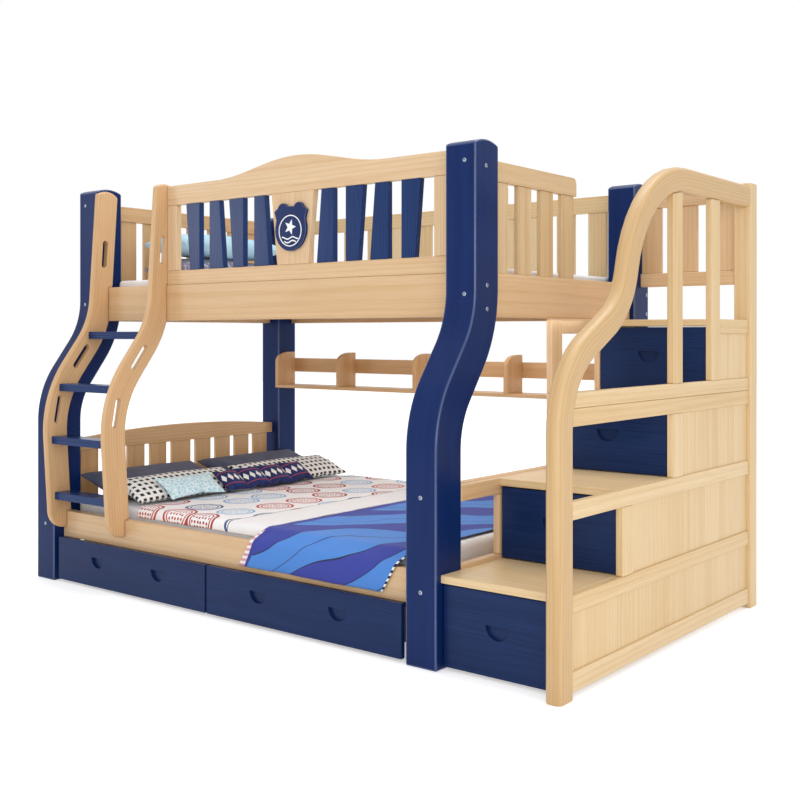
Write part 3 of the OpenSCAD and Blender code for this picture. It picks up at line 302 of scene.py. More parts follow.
def bentLine(y, z, heading, steps):
    # The centre line of a curved board: each step is a length and 0, or a radius and a turn
    line = [(y, z)]
    for size, turn in steps:
        count = 8 if turn else 1
        for _ in range(count):
            length = 2 * size * math.sin(math.radians(abs(turn) / count / 2)) if turn else size
            chord = math.radians(heading + turn / count / 2)
            y, z = y + length * math.sin(chord), z + length * math.cos(chord)
            heading += turn / count
            line.append((y, z))
    return line


def alongLine(line, y, z):
    # How far along the line a point lies, and how far beside it
    gone, nearest = 0.0, (1e9, 0.0, 0.0)
    for (ya, za), (yb, zb) in zip(line, line[1:]):
        length = math.hypot(yb - ya, zb - za)
        ahead = Vector(((yb - ya) / length, (zb - za) / length))
        step = min(length, max(0.0, (y - ya) * ahead.x + (z - za) * ahead.y))
        off = Vector((y - ya, z - za)) - ahead * step
        nearest = min(nearest, (off.length, gone + step, off.x * ahead.y - off.y * ahead.x))
        gone += length
    return nearest[1:]


curvedBoards = {  # centre lines of the S-shaped boards, mm and degrees from upright
    "post_front": bentLine(69.5, 0, 0, [(690, 0), (334, 36), (139, 0), (380, -36), (800, 0)]),
    "ladder_rail": bentLine(22.5, 230, -3.6, [(398, 0), (444, 39.9), (126, 0), (387, -32.4),
                                              (800, 0)]),
    "stair_handrail": bentLine(2, 0, 0, [(782, 0), (283, 62.5), (148, 0), (269, -49.2),
                                         (428, 76.7), (900, 0)]),
}


def grainOf(bm, seed, along=None):
    # Every board gets its grain: X along it, Y across its face, Z through it
    line = next((curve for name, curve in curvedBoards.items() if seed.startswith(name)), None)
    grain = bm.verts.layers.float_vector.new("grain")
    tone = bm.verts.layers.float.new("tone")

    def corner(board):
        return tuple(round(c, 3) for c in extent([v.co for v in board])[0])

    for number, board in enumerate(sorted(islands(bm), key=corner)):
        chance = random.Random(f"{seed} {number}")
        low, high = extent([v.co for v in board])
        order = sorted(range(3), key=lambda i: low[i] - high[i])
        if along is not None:
            order = [along] + [i for i in order if i != along]
        middle = (low + high) / 2
        # Each board is cut from another place in the log
        away = Vector((chance.uniform(-9, 9), chance.choice((-1, 1)) * chance.uniform(0.02, 0.12),
                       chance.uniform(0.06, 0.25)))
        shade = chance.random()
        for vert in board:
            local = vert.co - middle
            if line:
                gone, beside = alongLine(line, (vert.co.y - footFront) / mm, vert.co.z / mm)
                vert[grain] = Vector((gone * mm, local.x, beside * mm)) + away
            else:
                vert[grain] = Vector([local[i] for i in order]) + away
            vert[tone] = shade


def finished(name, bm, material, body, flat=False, sharp=32):
    mesh = bpy.data.meshes.new(name)
    bm.to_mesh(mesh)
    bm.free()
    for face in mesh.polygons:
        face.use_smooth = not flat
    if not flat:
        mesh.set_sharp_from_angle(angle=math.radians(sharp))
    piece = bpy.data.objects.new(name, mesh)
    scene.collection.objects.link(piece)
    for one in material if isinstance(material, (list, tuple)) else [material]:
        mesh.materials.append(one)
    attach(piece, body)
    return piece


def atEnds(edge, low, high):
    # Whether an edge lies round a board's foot or its far end
    points = [v.co for v in edge.verts]
    return (all(p.z < low.z + 0.5 * mm for p in points)
            or all(p.y > high.y - 0.5 * mm for p in points))


def rounded(bm, edges, width, segments):
    made = bmesh.ops.bevel(bm, geom=edges, offset=width * mm, offset_type="OFFSET",
                           affect="EDGES", segments=segments, profile=0.5, material=-1)
    return made["faces"]


# Faces within 0.6 degrees are one face, and an edge over 34 degrees is sharp. Sharp edges in loops
# under 20 mm, such as bolt holes, stay sharp; those under 165 mm, such as pulls and hand slots,
# are eased a little; the rest are eased by the board's own width
easing = {"level": 0.6, "sharpest": 34, "holes": 20 * mm, "slots": 165 * mm}


def dress(node, material, edge, small=1.2, along=None, segments=3, ends=0, weld=0.02):
    # Takes a node's solids over and rounds their edges: edge, small, ends and weld are in mm
    bm = bmesh.new()
    bm.from_mesh(nodes[node].data)
    bmesh.ops.remove_doubles(bm, verts=bm.verts, dist=weld * mm)
    bmesh.ops.dissolve_limit(bm, angle_limit=math.radians(easing["level"]), verts=bm.verts,
                             edges=bm.edges, use_dissolve_boundaries=False)
    groups = edgeLoops(bm, math.radians(easing["sharpest"]))
    low, high = extent([v.co for v in bm.verts])
    for reach, width in ((easing["holes"], 0), (easing["slots"], small), (math.inf, edge)):
        chosen = [e for group, size in groups if width and size < reach for e in group
                  if e.is_valid and not (ends and atEnds(e, low, high))]
        groups = [g for g in groups if g[1] >= reach]
        if chosen:
            eased = rounded(bm, chosen, width, segments if width > 1.5 else 2)
            # Eased faces take the second material where one is given: on the posts and the shield,
            # the edge paint with its painted highlight
            if isinstance(material, list):
                for face in eased:
                    face.material_index = 1
    if ends:
        rims = [e for e in bm.edges if len(e.link_faces) == 2 and atEnds(e, low, high)
                and e.calc_face_angle(0) > math.radians(easing["sharpest"])]
        rounded(bm, rims, ends, 2)
    if any(node.startswith(name) for name in curvedBoards):
        bmesh.ops.triangulate(bm, faces=[f for f in bm.faces if len(f.verts) > 4],
                              quad_method="BEAUTY", ngon_method="BEAUTY")
    grainOf(bm, node, along)
    piece = finished("dressed_" + node, bm, material, nodes[node]["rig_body"])
    weighted = piece.modifiers.new("weighted", "WEIGHTED_NORMAL")
    weighted.keep_sharp = True
    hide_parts(node)
    return piece


boardEdges = {  # rounding of each kind of board's edges, mm
    "post": 6, "ladder": 8, "handrail": 20, "rail": 4, "board": 2.5, "slat": 2, "panel": 1,
    "box": 1.2, "drawer front": 3,
}
upright = 2  # the grain of a panel stands upright
for node in ("post_front_left", "post_front_right", "post_back_left", "post_back_right"):
    dress(node, [navyPaint, navyEdgeHighlight], boardEdges["post"], segments=4)
for node in ("ladder_rail_left", "ladder_rail_right"):
    dress(node, pineHoney, boardEdges["ladder"], 2.5, segments=4, weld=0.6)
dress("stair_handrail", pineStair, boardEdges["handrail"], segments=6, ends=3)
for node in ("lower_rail_front", "lower_rail_back", "upper_rail_front", "upper_rail_back",
             "upper_beam_left", "upper_beam_right", "guard_front_frame", "foot_rails",
             "stair_inner_frame", "stair_guard"):
    dress(node, pinePanel, boardEdges["rail"])
for node in ("stair_rear_post", "stair_outer_frame"):
    dress(node, pinePale, boardEdges["rail"])
for node in ("headboard", "guard_left", "shelf_board", "shelf_dividers", "shelf_back_rail"):
    dress(node, pineHoney, boardEdges["slat"])
dress("guard_right", pineStair, boardEdges["slat"])
dress("guard_back", pinePale, boardEdges["slat"])
for node in ("lower_center_beam", "lower_slats", "upper_slats", "stair_runners"):
    dress(node, pineBoard, boardEdges["slat"])
dress("stair_treads", pinePale, boardEdges["board"])
dress("stair_outer_panels", pinePale, boardEdges["panel"], along=upright)
for node in ("stair_inner_panels", "guard_front_panel"):
    dress(node, pinePanel, boardEdges["panel"], along=upright)
for node in ("guard_front_slats", "ladder_rungs"):
    dress(node, navySlatPaintedReflection, boardEdges["slat"])
dress("guard_shield", [navyPaint, navyEdgeHighlight], 2.5, 2.5)
for number in range(1, 5):
    dress(f"step_drawer_{number}_front", navyFront, boardEdges["drawer front"])
    dress(f"step_drawer_{number}_box", pineDull, boardEdges["box"])
for side in ("left", "right"):
    dress(f"bed_drawer_{side}_front", navyFront, boardEdges["drawer front"])
    dress(f"bed_drawer_{side}_box", pineDull, boardEdges["box"], 0.5)
    for axle in ("front", "rear"):
        dress(f"bed_drawer_{side}_{axle}_wheels", nylon, 1.5, 1.5)
print("boards dressed")


boltLook = {  # radii and heights in mm
    "shank": 7, "headRadius": 7.6, "headHeight": 2.6, "socket": 2.8, "socketTaper": 0.9,
    "socketHeight": 0.5, "socketSunk": 0.05, "steps": 28, "rings": 16,
}


def boltPieces():
    # A domed head with a hex socket on every bolt
    heads = bmesh.new()
    sockets = bmesh.new()
    bm = bmesh.new()
    bm.from_mesh(nodes["bolts"].data)
    bmesh.ops.remove_doubles(bm, verts=bm.verts, dist=0.02 * mm)
    for group in islands(bm):
        low, high = extent([v.co for v in group])
        size = high - low
        axis = max(range(3), key=lambda i: size[i])
        middle = (low + high) / 2
        across = [i for i in range(3) if i != axis]
        wide = [v.co[axis] for v in group
                if sum((v.co[i] - middle[i]) ** 2 for i in across) > (boltLook["shank"] * mm) ** 2]
        seat = sum(wide) / len(wide)
        outward = Vector((0, 0, 0))
        outward[axis] = 1 if seat > middle[axis] else -1
        foot = Vector(middle)
        foot[axis] = seat
        turn = Vector((0, 0, 1)).rotation_difference(outward).to_matrix().to_4x4()
        place = Matrix.Translation(foot) @ turn
        r, h = boltLook["headRadius"] * mm, boltLook["headHeight"] * mm
        before = set(heads.verts)
        bmesh.ops.create_uvsphere(heads, u_segments=boltLook["steps"],
                                  v_segments=boltLook["rings"], radius=1.0)
        dome = [v for v in heads.verts if v not in before]
        bmesh.ops.scale(heads, verts=dome, vec=(r, r, h))
        bmesh.ops.bisect_plane(heads, geom=list({f for v in dome for f in v.link_faces})
                               + list({e for v in dome for e in v.link_edges}) + dome,
                               plane_co=(0, 0, 0), plane_no=(0, 0, -1), clear_outer=True)
        dome = [v for v in heads.verts if v not in before]
        bmesh.ops.transform(heads, matrix=place, verts=dome)
        # The socket is no hollow: a thin dark hexagon on the dome carries its painted shade
        hexagon = boltLook["socket"] * mm
        up = Matrix.Translation((0, 0, h - boltLook["socketSunk"] * mm))
        bmesh.ops.create_cone(sockets, cap_ends=True, segments=6, radius1=hexagon,
                              radius2=hexagon * boltLook["socketTaper"],
                              depth=boltLook["socketHeight"] * mm, matrix=place @ up)
    bm.free()
    holes = [e for e in heads.edges if e.is_boundary]
    bmesh.ops.holes_fill(heads, edges=holes, sides=0)
    bmesh.ops.recalc_face_normals(heads, faces=heads.faces)
    head = finished("bolt_heads", heads, zinc, "bed")
    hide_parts("bolts")
    finished("bolt_sockets", sockets, socketShade, "bed", flat=True)


boltPieces()
print("bolts made")


# The shield's emblem is a star over two waves inside a ring, sizes in mm
shield = {
    "centre": 78, "ring": 61, "ringWidth": 4, "lift": 1.2,
    "star": 31, "starInner": 13, "starUp": 14, "starTurn": 18,
    "waves": (-28, -42), "waveLine": 5, "waveSwell": 4, "waveStep": 8.5, "waveMargin": 9,
}


def emblem():
    low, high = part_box("guard_shield")
    centre = Vector(((low.x + high.x) / 2, low.y, low.z + shield["centre"] * mm))
    stand = Matrix.Translation(centre) @ Matrix.Rotation(math.radians(90), 4, "X")
    bm = bmesh.new()
    # The ring: a disc's edge between two circles
    outer = bmesh.ops.create_circle(bm, cap_ends=True, segments=64, radius=shield["ring"] * mm)
    disc = list({f for v in outer["verts"] for f in v.link_faces})
    bmesh.ops.inset_region(bm, faces=disc, thickness=shield["ringWidth"] * mm, use_boundary=True)
    bmesh.ops.delete(bm, geom=disc, context="FACES_ONLY")
    # The star: a ten-sided disc with every other corner drawn in
    rim = bmesh.ops.create_circle(bm, cap_ends=True, segments=10, radius=shield["star"] * mm)
    rim = rim["verts"]
    for number, vert in enumerate(sorted(rim, key=lambda v: math.atan2(v.co.y, v.co.x))):
        if number % 2:
            vert.co *= shield["starInner"] / shield["star"]
    turn = Matrix.Rotation(math.radians(shield["starTurn"]), 4, "Z")
    up = Matrix.Translation((0, shield["starUp"] * mm, 0))
    bmesh.ops.transform(bm, matrix=up @ turn, verts=rim)
    # The waves: two thin strips, bent
    for level in shield["waves"]:
        strip = bmesh.ops.create_grid(bm, x_segments=24, y_segments=1, size=0.5)["verts"]
        swell = shield["waveSwell"]
        reach = math.sqrt(shield["ring"] ** 2 - (level - swell) ** 2) - shield["waveMargin"]
        for vert in strip:
            x = vert.co.x * 2 * reach
            bend = swell * math.sin(x / shield["waveStep"])
            vert.co = (x * mm, (vert.co.y * shield["waveLine"] + level + bend) * mm, vert.co.z)
    grown = bmesh.ops.extrude_face_region(bm, geom=bm.faces[:])["geom"]
    bmesh.ops.translate(bm, vec=(0, 0, shield["lift"] * mm),
                        verts=[g for g in grown if isinstance(g, bmesh.types.BMVert)])
    bmesh.ops.transform(bm, matrix=stand, verts=bm.verts)
    bmesh.ops.recalc_face_normals(bm, faces=bm.faces)
    return finished("shield_emblem", bm, enamel, "bed", flat=True)


emblem()
print("shield made")


def weave(tree, shader, place, pitch):
    # Plain weave drawn 2 to 3 mm wide, where the real threads are too fine to show
    scaled = waveUnit / (pitch * mm)
    warp = add(tree, "ShaderNodeTexWave", {"Vector": place, "Scale": scaled}, bands_direction="X")
    weft = add(tree, "ShaderNodeTexWave", {"Vector": place, "Scale": scaled}, bands_direction="Y")
    bumped(tree, shader, maths(tree, "MULTIPLY", warp.outputs["Fac"], weft.outputs["Fac"]),
           0.3 * mm, 0.35)


def cottonCloth(name, pattern, pitch, **settings):
    # Woven cotton: matte, with a little sheen; pattern gives its colour from the flat cut, and
    # pitch is the weave's in mm
    material, tree, shader = newMaterial(name, **{"Roughness": 0.85, "Sheen_Weight": 0.06,
                                                  "Sheen_Roughness": 0.5, **settings})
    place = add(tree, "ShaderNodeAttribute", attribute_name="flatCut").outputs["Vector"]
    tree.links.new(pattern(tree, place), shader.inputs["Base Color"])
    weave(tree, shader, place, pitch)
    return material


def dyed(colour, deeper):
    def pattern(tree, place):
        return toned(tree, clouded(tree, place, 4.0, 9.0), [(0.35, deeper), (0.65, colour)])
    return pattern


def checked(tree, place, square=19, pitch=36):
    # Black squares on white, in mm
    parts = add(tree, "ShaderNodeSeparateXYZ", {0: place})
    inside = []
    for axis in ("X", "Y"):
        phase = maths(tree, "FRACT", maths(tree, "DIVIDE", parts.outputs[axis], pitch * mm))
        inside.append(maths(tree, "LESS_THAN", phase, square / pitch))
    return mixed(tree, maths(tree, "MULTIPLY", *inside), linear("#EFEDEA"), linear("#17181C"))


def crackled(tree, place, cell=22, line=0.09):
    # Pale blue with a net of lighter lines: cells in mm, lines as a share of them
    net = add(tree, "ShaderNodeTexVoronoi", {"Vector": place, "Scale": 1 / (cell * mm)},
              feature="DISTANCE_TO_EDGE").outputs["Distance"]
    ground = toned(tree, clouded(tree, place, 2.0, 40.0), [(0.35, "#A9D3E2"), (0.65, "#C6E4EC")])
    return mixed(tree, maths(tree, "LESS_THAN", net, line), ground, linear("#E4F3F5"))


def speckled(tree, place, pitch=20, radius=6.8):
    # Grey with lighter and rosy flecks, in mm
    flecks = add(tree, "ShaderNodeTexVoronoi", {"Vector": place, "Scale": 1 / (pitch * mm)})
    near = maths(tree, "LESS_THAN", flecks.outputs["Distance"], radius / pitch)
    pick = add(tree, "ShaderNodeSeparateColor", {0: flecks.outputs["Color"]}).outputs[0]
    tint = toned(tree, pick, [(0.0, "#B9BCC8"), (0.6, "#C79AA6")])
    return mixed(tree, near, dyed("#7C8192", "#6B7083")(tree, place), tint)


lozengeRow = {  # in mm; halfWidth is a share of the pitch, filled one of the lozenge
    "pitch": 38, "halfHeight": 28, "halfWidth": 0.42, "filled": 0.92, "bars": 42, "bar": 1.8,
}


def channelled(tree, place):
    # Navy with one row of white lozenges, and thin red lines beside it
    look = lozengeRow
    parts = add(tree, "ShaderNodeSeparateXYZ", {0: place})
    row = maths(tree, "ABSOLUTE", parts.outputs["X"])
    phase = maths(tree, "FRACT", maths(tree, "DIVIDE", parts.outputs["Y"], look["pitch"] * mm))
    step = maths(tree, "ABSOLUTE", maths(tree, "SUBTRACT", phase, 0.5))
    slant = maths(tree, "ADD", maths(tree, "DIVIDE", row, look["halfHeight"] * mm),
                  maths(tree, "DIVIDE", step, look["halfWidth"]))
    lozenge = maths(tree, "LESS_THAN", slant, look["filled"])
    bar = maths(tree, "COMPARE", row, look["bars"] * mm, look["bar"] * mm)
    ground = dyed("#16296C", "#101F52")(tree, place)
    ground = mixed(tree, bar, ground, linear("#C23B45"))
    return mixed(tree, lozenge, ground, linear("#EDEBE8"))


medallionPrint = {  # pitches in mm, the rest as shares of the pitch
    "pitch": 190, "scatter": 0.26, "outerRing": (0.385, 0.032), "innerRing": (0.295, 0.018),
    "field": 0.25, "dotPitch": 17, "dotScatter": 0.2, "dot": 0.31,
    "inks": [(0.0, "#A93430"), (0.36, "#8CB6DC"), (0.58, "#405E8C"), (0.78, "#BE4A44")],
}


def medallions(tree, place):
    # White printed with round medallions 158 mm wide: two rings round a field of small dots,
    # in red, sky and slate
    look = medallionPrint
    spread = add(tree, "ShaderNodeTexVoronoi", {"Vector": place, "Scale": 1 / (look["pitch"] * mm),
                 "Randomness": look["scatter"]}, voronoi_dimensions="2D")
    away = spread.outputs["Distance"]
    rings = maths(tree, "MAXIMUM", maths(tree, "COMPARE", away, *look["outerRing"]),
                  maths(tree, "COMPARE", away, *look["innerRing"]))
    dots = add(tree, "ShaderNodeTexVoronoi", {"Vector": place, "Scale": 1 / (look["dotPitch"] * mm),
               "Randomness": look["dotScatter"]}, voronoi_dimensions="2D").outputs["Distance"]
    field = maths(tree, "MULTIPLY", maths(tree, "LESS_THAN", dots, look["dot"]),
                  maths(tree, "LESS_THAN", away, look["field"]))
    mask = maths(tree, "MAXIMUM", rings, field)
    pick = add(tree, "ShaderNodeSeparateColor", {0: spread.outputs["Color"]}).outputs[0]
    ink = add(tree, "ShaderNodeValToRGB", {0: pick}, stops=look["inks"])
    ink.color_ramp.interpolation = "CONSTANT"
    return mixed(tree, mask, linear("#F3F2F3"), ink.outputs[0])


def coverPattern(tree, place):
    # The print ends at a dark piped line, then a plain band of a warmer white
    along = add(tree, "ShaderNodeSeparateXYZ", {0: place}).outputs["X"]
    beyond = maths(tree, "GREATER_THAN", along, cover["bandStart"] * mm)
    line = maths(tree, "COMPARE", along, cover["bandStart"] * mm, cover["piping"] * mm)
    ground = mixed(tree, beyond, medallions(tree, place), linear("#EDECED"))
    return mixed(tree, line, ground, linear("#3B3E48"))


throwPrint = {  # lengths in mm; violet, line, thinAt and thin are shares of the waves' pitch
    "pitch": 460, "shift": 1020, "slant": -0.85, "acrossSwell": 40, "alongSwell": 25,
    "violet": 0.17, "line": 0.008, "thinAt": 0.93, "thin": 0.007, "stripe": 20, "binding": 8,
    "hemOnTop": 0.35,
}


def throwPattern(tree, place):
    # Sky blue with broad violet waves edged by a thin dark line, a violet border and a striped
    # edge
    look = throwPrint
    parts = add(tree, "ShaderNodeSeparateXYZ", {0: place})
    across, along = parts.outputs["X"], parts.outputs["Y"]

    def swelling(way, pace, size):
        wave = maths(tree, "SINE", maths(tree, "MULTIPLY", way, pace))
        return maths(tree, "MULTIPLY", wave, size * mm)

    def beside(value, middle):
        return maths(tree, "ABSOLUTE", maths(tree, "SUBTRACT", value, middle))

    swell = maths(tree, "ADD", swelling(across, 15.0, look["acrossSwell"]),
                  swelling(along, 17.0, look["alongSwell"]))
    field = maths(tree, "ADD", along, maths(tree, "MULTIPLY", across, look["slant"]))
    field = maths(tree, "ADD", maths(tree, "ADD", field, swell), look["shift"] * mm)
    phase = maths(tree, "FRACT", maths(tree, "DIVIDE", field, look["pitch"] * mm))
    fromWave = beside(phase, 0.5)
    violet = maths(tree, "LESS_THAN", fromWave, look["violet"])
    lines = maths(tree, "LESS_THAN", beside(fromWave, look["violet"]), look["line"])
    thin = maths(tree, "LESS_THAN", beside(phase, look["thinAt"]), look["thin"])
    ground = mixed(tree, violet, linear("#4C86D4"), linear("#35409C"))
    ground = mixed(tree, maths(tree, "MAXIMUM", lines, thin), ground, linear("#20264A"))
    border = maths(tree, "LESS_THAN", across, throw["border"] * mm)
    ground = mixed(tree, border, ground, linear("#333D98"))
    stripes = maths(tree, "LESS_THAN", maths(tree, "FRACT", maths(tree, "DIVIDE", along,
                    look["stripe"] * mm)), 0.5)
    edge = mixed(tree, stripes, linear("#F1E9E6"), linear("#D69AA4"))
    hanging = maths(tree, "LESS_THAN", along, throw["hang"] * mm)
    # The striped hem is widest at the throw's foot
    hem = add(tree, "ShaderNodeMapRange", {0: along, 1: 0.0, 2: throw["hang"] * mm,
              3: throw["strip"] * mm, 4: throw["strip"] * look["hemOnTop"] * mm}).outputs[0]
    atEdge = maths(tree, "MULTIPLY", maths(tree, "LESS_THAN", across, hem), hanging)
    ground = mixed(tree, atEdge, ground, edge)
    dots = mixed(tree, stripes, linear("#1B2140"), linear("#F4F2F0"))
    # The binding of the far edge: dotted where it hangs, dark on top
    farEdge = maths(tree, "GREATER_THAN", across, (throw["width"] - look["binding"]) * mm)
    bound = mixed(tree, hanging, linear("#151B38"), dots)
    return mixed(tree, farEdge, ground, bound)


mattressLook = {  # rounding of the upright corners and grid of the soft top, in mm
    "corner": 40, "cell": 60,
    "waves": [(5.0, 1.6), (14.0, 0.5)],  # waves per metre, and how far they rise and fall in mm
}
ticking = cottonCloth("white cotton ticking", dyed("#EEEEF0", "#E6E6E9"), 3.0)


def makeMattress(name, node, edge):
    # A block with rounded corners and rims, whose top swells a little
    look = mattressLook
    low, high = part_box(node)
    bm = bmesh.new()
    bmesh.ops.create_cube(bm, size=1.0)
    size = high - low
    bmesh.ops.scale(bm, vec=size, verts=bm.verts)
    bmesh.ops.translate(bm, vec=(low + high) / 2, verts=bm.verts)
    upEdges = [e for e in bm.edges if abs(e.verts[0].co.z - e.verts[1].co.z) > size.z / 2]
    rounded(bm, upEdges, look["corner"], 7)
    rims = [e for e in bm.edges if abs(e.calc_face_angle(0)) > math.radians(70)]
    rounded(bm, rims, edge, 6)
    for axis in (0, 1):  # cuts across and along let the faces swell a little
        count = int(size[axis] / (look["cell"] * mm))
        for step in range(1, count):
            plane = Vector((0, 0, 0))
            plane[axis] = 1
            where = low.copy()
            where[axis] = low[axis] + size[axis] * step / count
            bmesh.ops.bisect_plane(bm, geom=bm.verts[:] + bm.edges[:] + bm.faces[:],
                                   dist=0.2 * mm, plane_co=where, plane_no=plane)
    for vert in bm.verts:
        wave = sum(noise.noise(vert.co * pace) * rise for pace, rise in look["waves"])
        if vert.co.z > high.z - 2 * mm:
            vert.co.z += (wave - look["waves"][0][1]) * mm
    cut = bm.verts.layers.float_vector.new("flatCut")
    for vert in bm.verts:
        vert[cut] = vert.co
    piece = finished(name, bm, ticking, "bed", sharp=70)
    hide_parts(node)
    return piece


makeMattress("mattress_lower", "lower_mattress", 26)
makeMattress("mattress_upper", "upper_mattress", 16)
print("mattresses made")


def softened(piece):
    smooth = piece.modifiers.new("smooth", "SUBSURF")
    smooth.levels = smooth.render_levels = 1


padCloth = {
    "quality": 6, "mass": 0.25, "tension_stiffness": 20, "compression_stiffness": 12,
    "shear_stiffness": 6, "bending_stiffness": 0.4, "use_pressure": True,
}
padLook = {  # steps until a blown pad is at rest; mm between its layers, and above its support
    "settle": 24, "apart": 4, "clear": 0.5,
}


def padLayers(look, length, width):
    # Two flat layers, sewn along the rim and the channels
    bm = bmesh.new()
    nx, ny = look["cells"]
    bmesh.ops.create_grid(bm, x_segments=nx, y_segments=ny, size=0.5)
    cut = bm.verts.layers.float_vector.new("flatCut")
    sewn = bm.verts.layers.int.new("sewn")
    channels = look.get("channels", 1)
    rows = {round(ny * k / channels) for k in range(1, channels)}
    for vert in bm.verts:
        row = round((vert.co.y + 0.5) * ny)
        vert[sewn] = 1 if vert.is_boundary or row in rows else 0
        vert.co.x *= length
        vert.co.y *= width
        vert[cut] = vert.co
    twin = bmesh.ops.duplicate(bm, geom=bm.verts[:] + bm.edges[:] + bm.faces[:])["geom"]
    bmesh.ops.reverse_faces(bm, faces=[g for g in twin if isinstance(g, bmesh.types.BMFace)])
    lower = {g for g in twin if isinstance(g, bmesh.types.BMVert)}
    for vert in bm.verts:
        if not vert[sewn]:
            vert.co.z = (-1 if vert in lower else 1) * padLook["apart"] / 2 * mm
    bmesh.ops.remove_doubles(bm, verts=[v for v in bm.verts if v[sewn]], dist=0.1 * mm)
    return bm


def blowUp(pad, pressure):
    # Cloth under pressure and without weight, until it is at rest
    cloth = pad.modifiers.new("cloth", "CLOTH")
    for key, value in padCloth.items():
        setattr(cloth.settings, key, value)
    cloth.settings.uniform_pressure_force = pressure
    cloth.settings.effector_weights.gravity = 0
    cloth.collision_settings.use_collision = False
    cloth.point_cache.frame_start = 1
    cloth.point_cache.frame_end = padLook["settle"] + 1
    for step in range(1, padLook["settle"] + 1):
        scene.frame_set(step)
    graph = bpy.context.evaluated_depsgraph_get()
    blown = bpy.data.meshes.new_from_object(pad.evaluated_get(graph), depsgraph=graph)
    pad.modifiers.clear()
    pad.data = blown
    scene.frame_set(1)


def sewnPad(name, look, material):
    # A blown pad, brought to size, tilted and laid on what it rests on
    size = [v * mm for v in look["size"]]
    length, width = size[0] * look["spare"], size[1] * look["spare"]
    mesh = bpy.data.meshes.new(name)
    bm = padLayers(look, length, width)
    bm.to_mesh(mesh)
    bm.free()
    pad = bpy.data.objects.new(name, mesh)
    scene.collection.objects.link(pad)
    blowUp(pad, look["pressure"])
    low, high = extent([v.co for v in pad.data.vertices])
    for vert in pad.data.vertices:
        for axis in range(3):
            middle = (low[axis] + high[axis]) / 2
            vert.co[axis] = (vert.co[axis] - middle) * size[axis] / (high[axis] - low[axis])
    turn = Matrix.Rotation(math.radians(look["tilt"]), 4, "Y")
    pad.data.transform(Matrix.Translation(at(*look["place"])) @ turn)
    lowest = (look["rests"] + padLook["clear"]) * mm
    for vert in pad.data.vertices:
        vert.co.z = max(vert.co.z, lowest)
    for face in pad.data.polygons:
        face.use_smooth = True
    pad.data.materials.clear()
    pad.data.materials.append(material)
    softened(pad)
    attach(pad, "bed")
    print(name, "blown")
    return pad


def bedding(name, look, material, node):
    pad = sewnPad(name, look, material)
    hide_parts(node)


bedTop = 345.6
slateCotton = cottonCloth("slate cotton sateen", dyed("#51566E", "#434860"), 2.4, Roughness=0.7)
checkedCotton = cottonCloth("checked cotton", checked, 2.4)
skyCotton = cottonCloth("pale blue printed cotton", crackled, 2.4)
navyQuilt = cottonCloth("navy quilted cotton", channelled, 2.4)
greyPrint = cottonCloth("grey printed cotton", speckled, 2.4)
bluePercale = cottonCloth("light blue percale", dyed("#B7D9E8", "#A5CCE0"), 2.4)
rearPillow = {"size": (280, 640, 84), "cells": (30, 64), "spare": 1.12, "pressure": 9, "tilt": 18,
              "rests": bedTop, "fill": 0.45}
frontPillow = {**rearPillow, "size": (230, 640, 70), "tilt": 20, "cells": (26, 64)}
for number, y in enumerate((444.6, 1118.9)):
    bedding(f"pillow_slate_{number + 1}", {**rearPillow, "place": (-1935, y, 406.6)},
            slateCotton, "pillows")
    bedding(f"pillow_checked_{number + 1}", {**frontPillow, "place": (-1743, y, 398.3)},
            checkedCotton, "pillows")
upperPillow = {"size": (300, 640, 114), "cells": (30, 60), "spare": 1.12, "pressure": 9, "tilt": 0}
bedding("pillow_upper_low", {**upperPillow, "rests": 1312.6, "place": (-1908, 787, 1369.6)},
        greyPrint, "pillows")
bedding("pillow_upper_top", {**upperPillow, "rests": 1426.8, "place": (-1908, 787, 1483.9)},
        bluePercale, "pillows")
bedding("cushion_blue", {"size": (150, 312, 46), "cells": (24, 44), "spare": 1.1, "pressure": 9,
        "tilt": 34, "rests": bedTop, "place": (-1643, 405.5, 406.4)},
        skyCotton, "cushions")
bedding("cushion_channelled", {"size": (150, 560, 46), "cells": (24, 80), "spare": 1.1,
        "pressure": 12, "channels": 4, "tilt": 34, "rests": bedTop,
        "place": (-1643, 853.5, 404.9)}, navyQuilt, "cushions")


def route(points, radii, step=6):
    # Rounds the corners of a (y, z) path and cuts it into steps of a few mm
    line = [Vector(points[0])]
    for before, corner, after, r in zip(points, points[1:], points[2:], radii):
        a, c, b = Vector(before), Vector(corner), Vector(after)
        into, out = (c - a).normalized(), (b - c).normalized()
        angle = into.angle(out)
        reach = r * math.tan(angle / 2)
        start, end = c - into * reach, c + out * reach
        count = max(2, int(r * angle / step))
        for k in range(count + 1):
            t = k / count
            # a quadratic curve between the two tangent points
            line.append(start * (1 - t) ** 2 + c * 2 * t * (1 - t) + end * t * t)
    line.append(Vector(points[-1]))
    even = [line[0]]
    for a, b in zip(line, line[1:]):
        count = max(1, int((b - a).length / step))
        even += [a + (b - a) * k / count for k in range(1, count + 1)]
    lengths = [0.0]
    for a, b in zip(even, even[1:]):
        lengths.append(lengths[-1] + (b - a).length)
    return even, lengths


def onRoute(path, s):
    # The point at length s of the path, and the direction out of the cloth there
    even, lengths = path
    low, high = 0, len(lengths) - 2
    while low < high:
        middle = (low + high + 1) // 2
        if lengths[middle] <= s:
            low = middle
        else:
            high = middle - 1
    a, b = even[low], even[low + 1]
    t = (s - lengths[low]) / max(1e-9, lengths[low + 1] - lengths[low])
    direction = (b - a).normalized()
    return a + (b - a) * min(1, max(0, t)), Vector((-direction.y, direction.x))


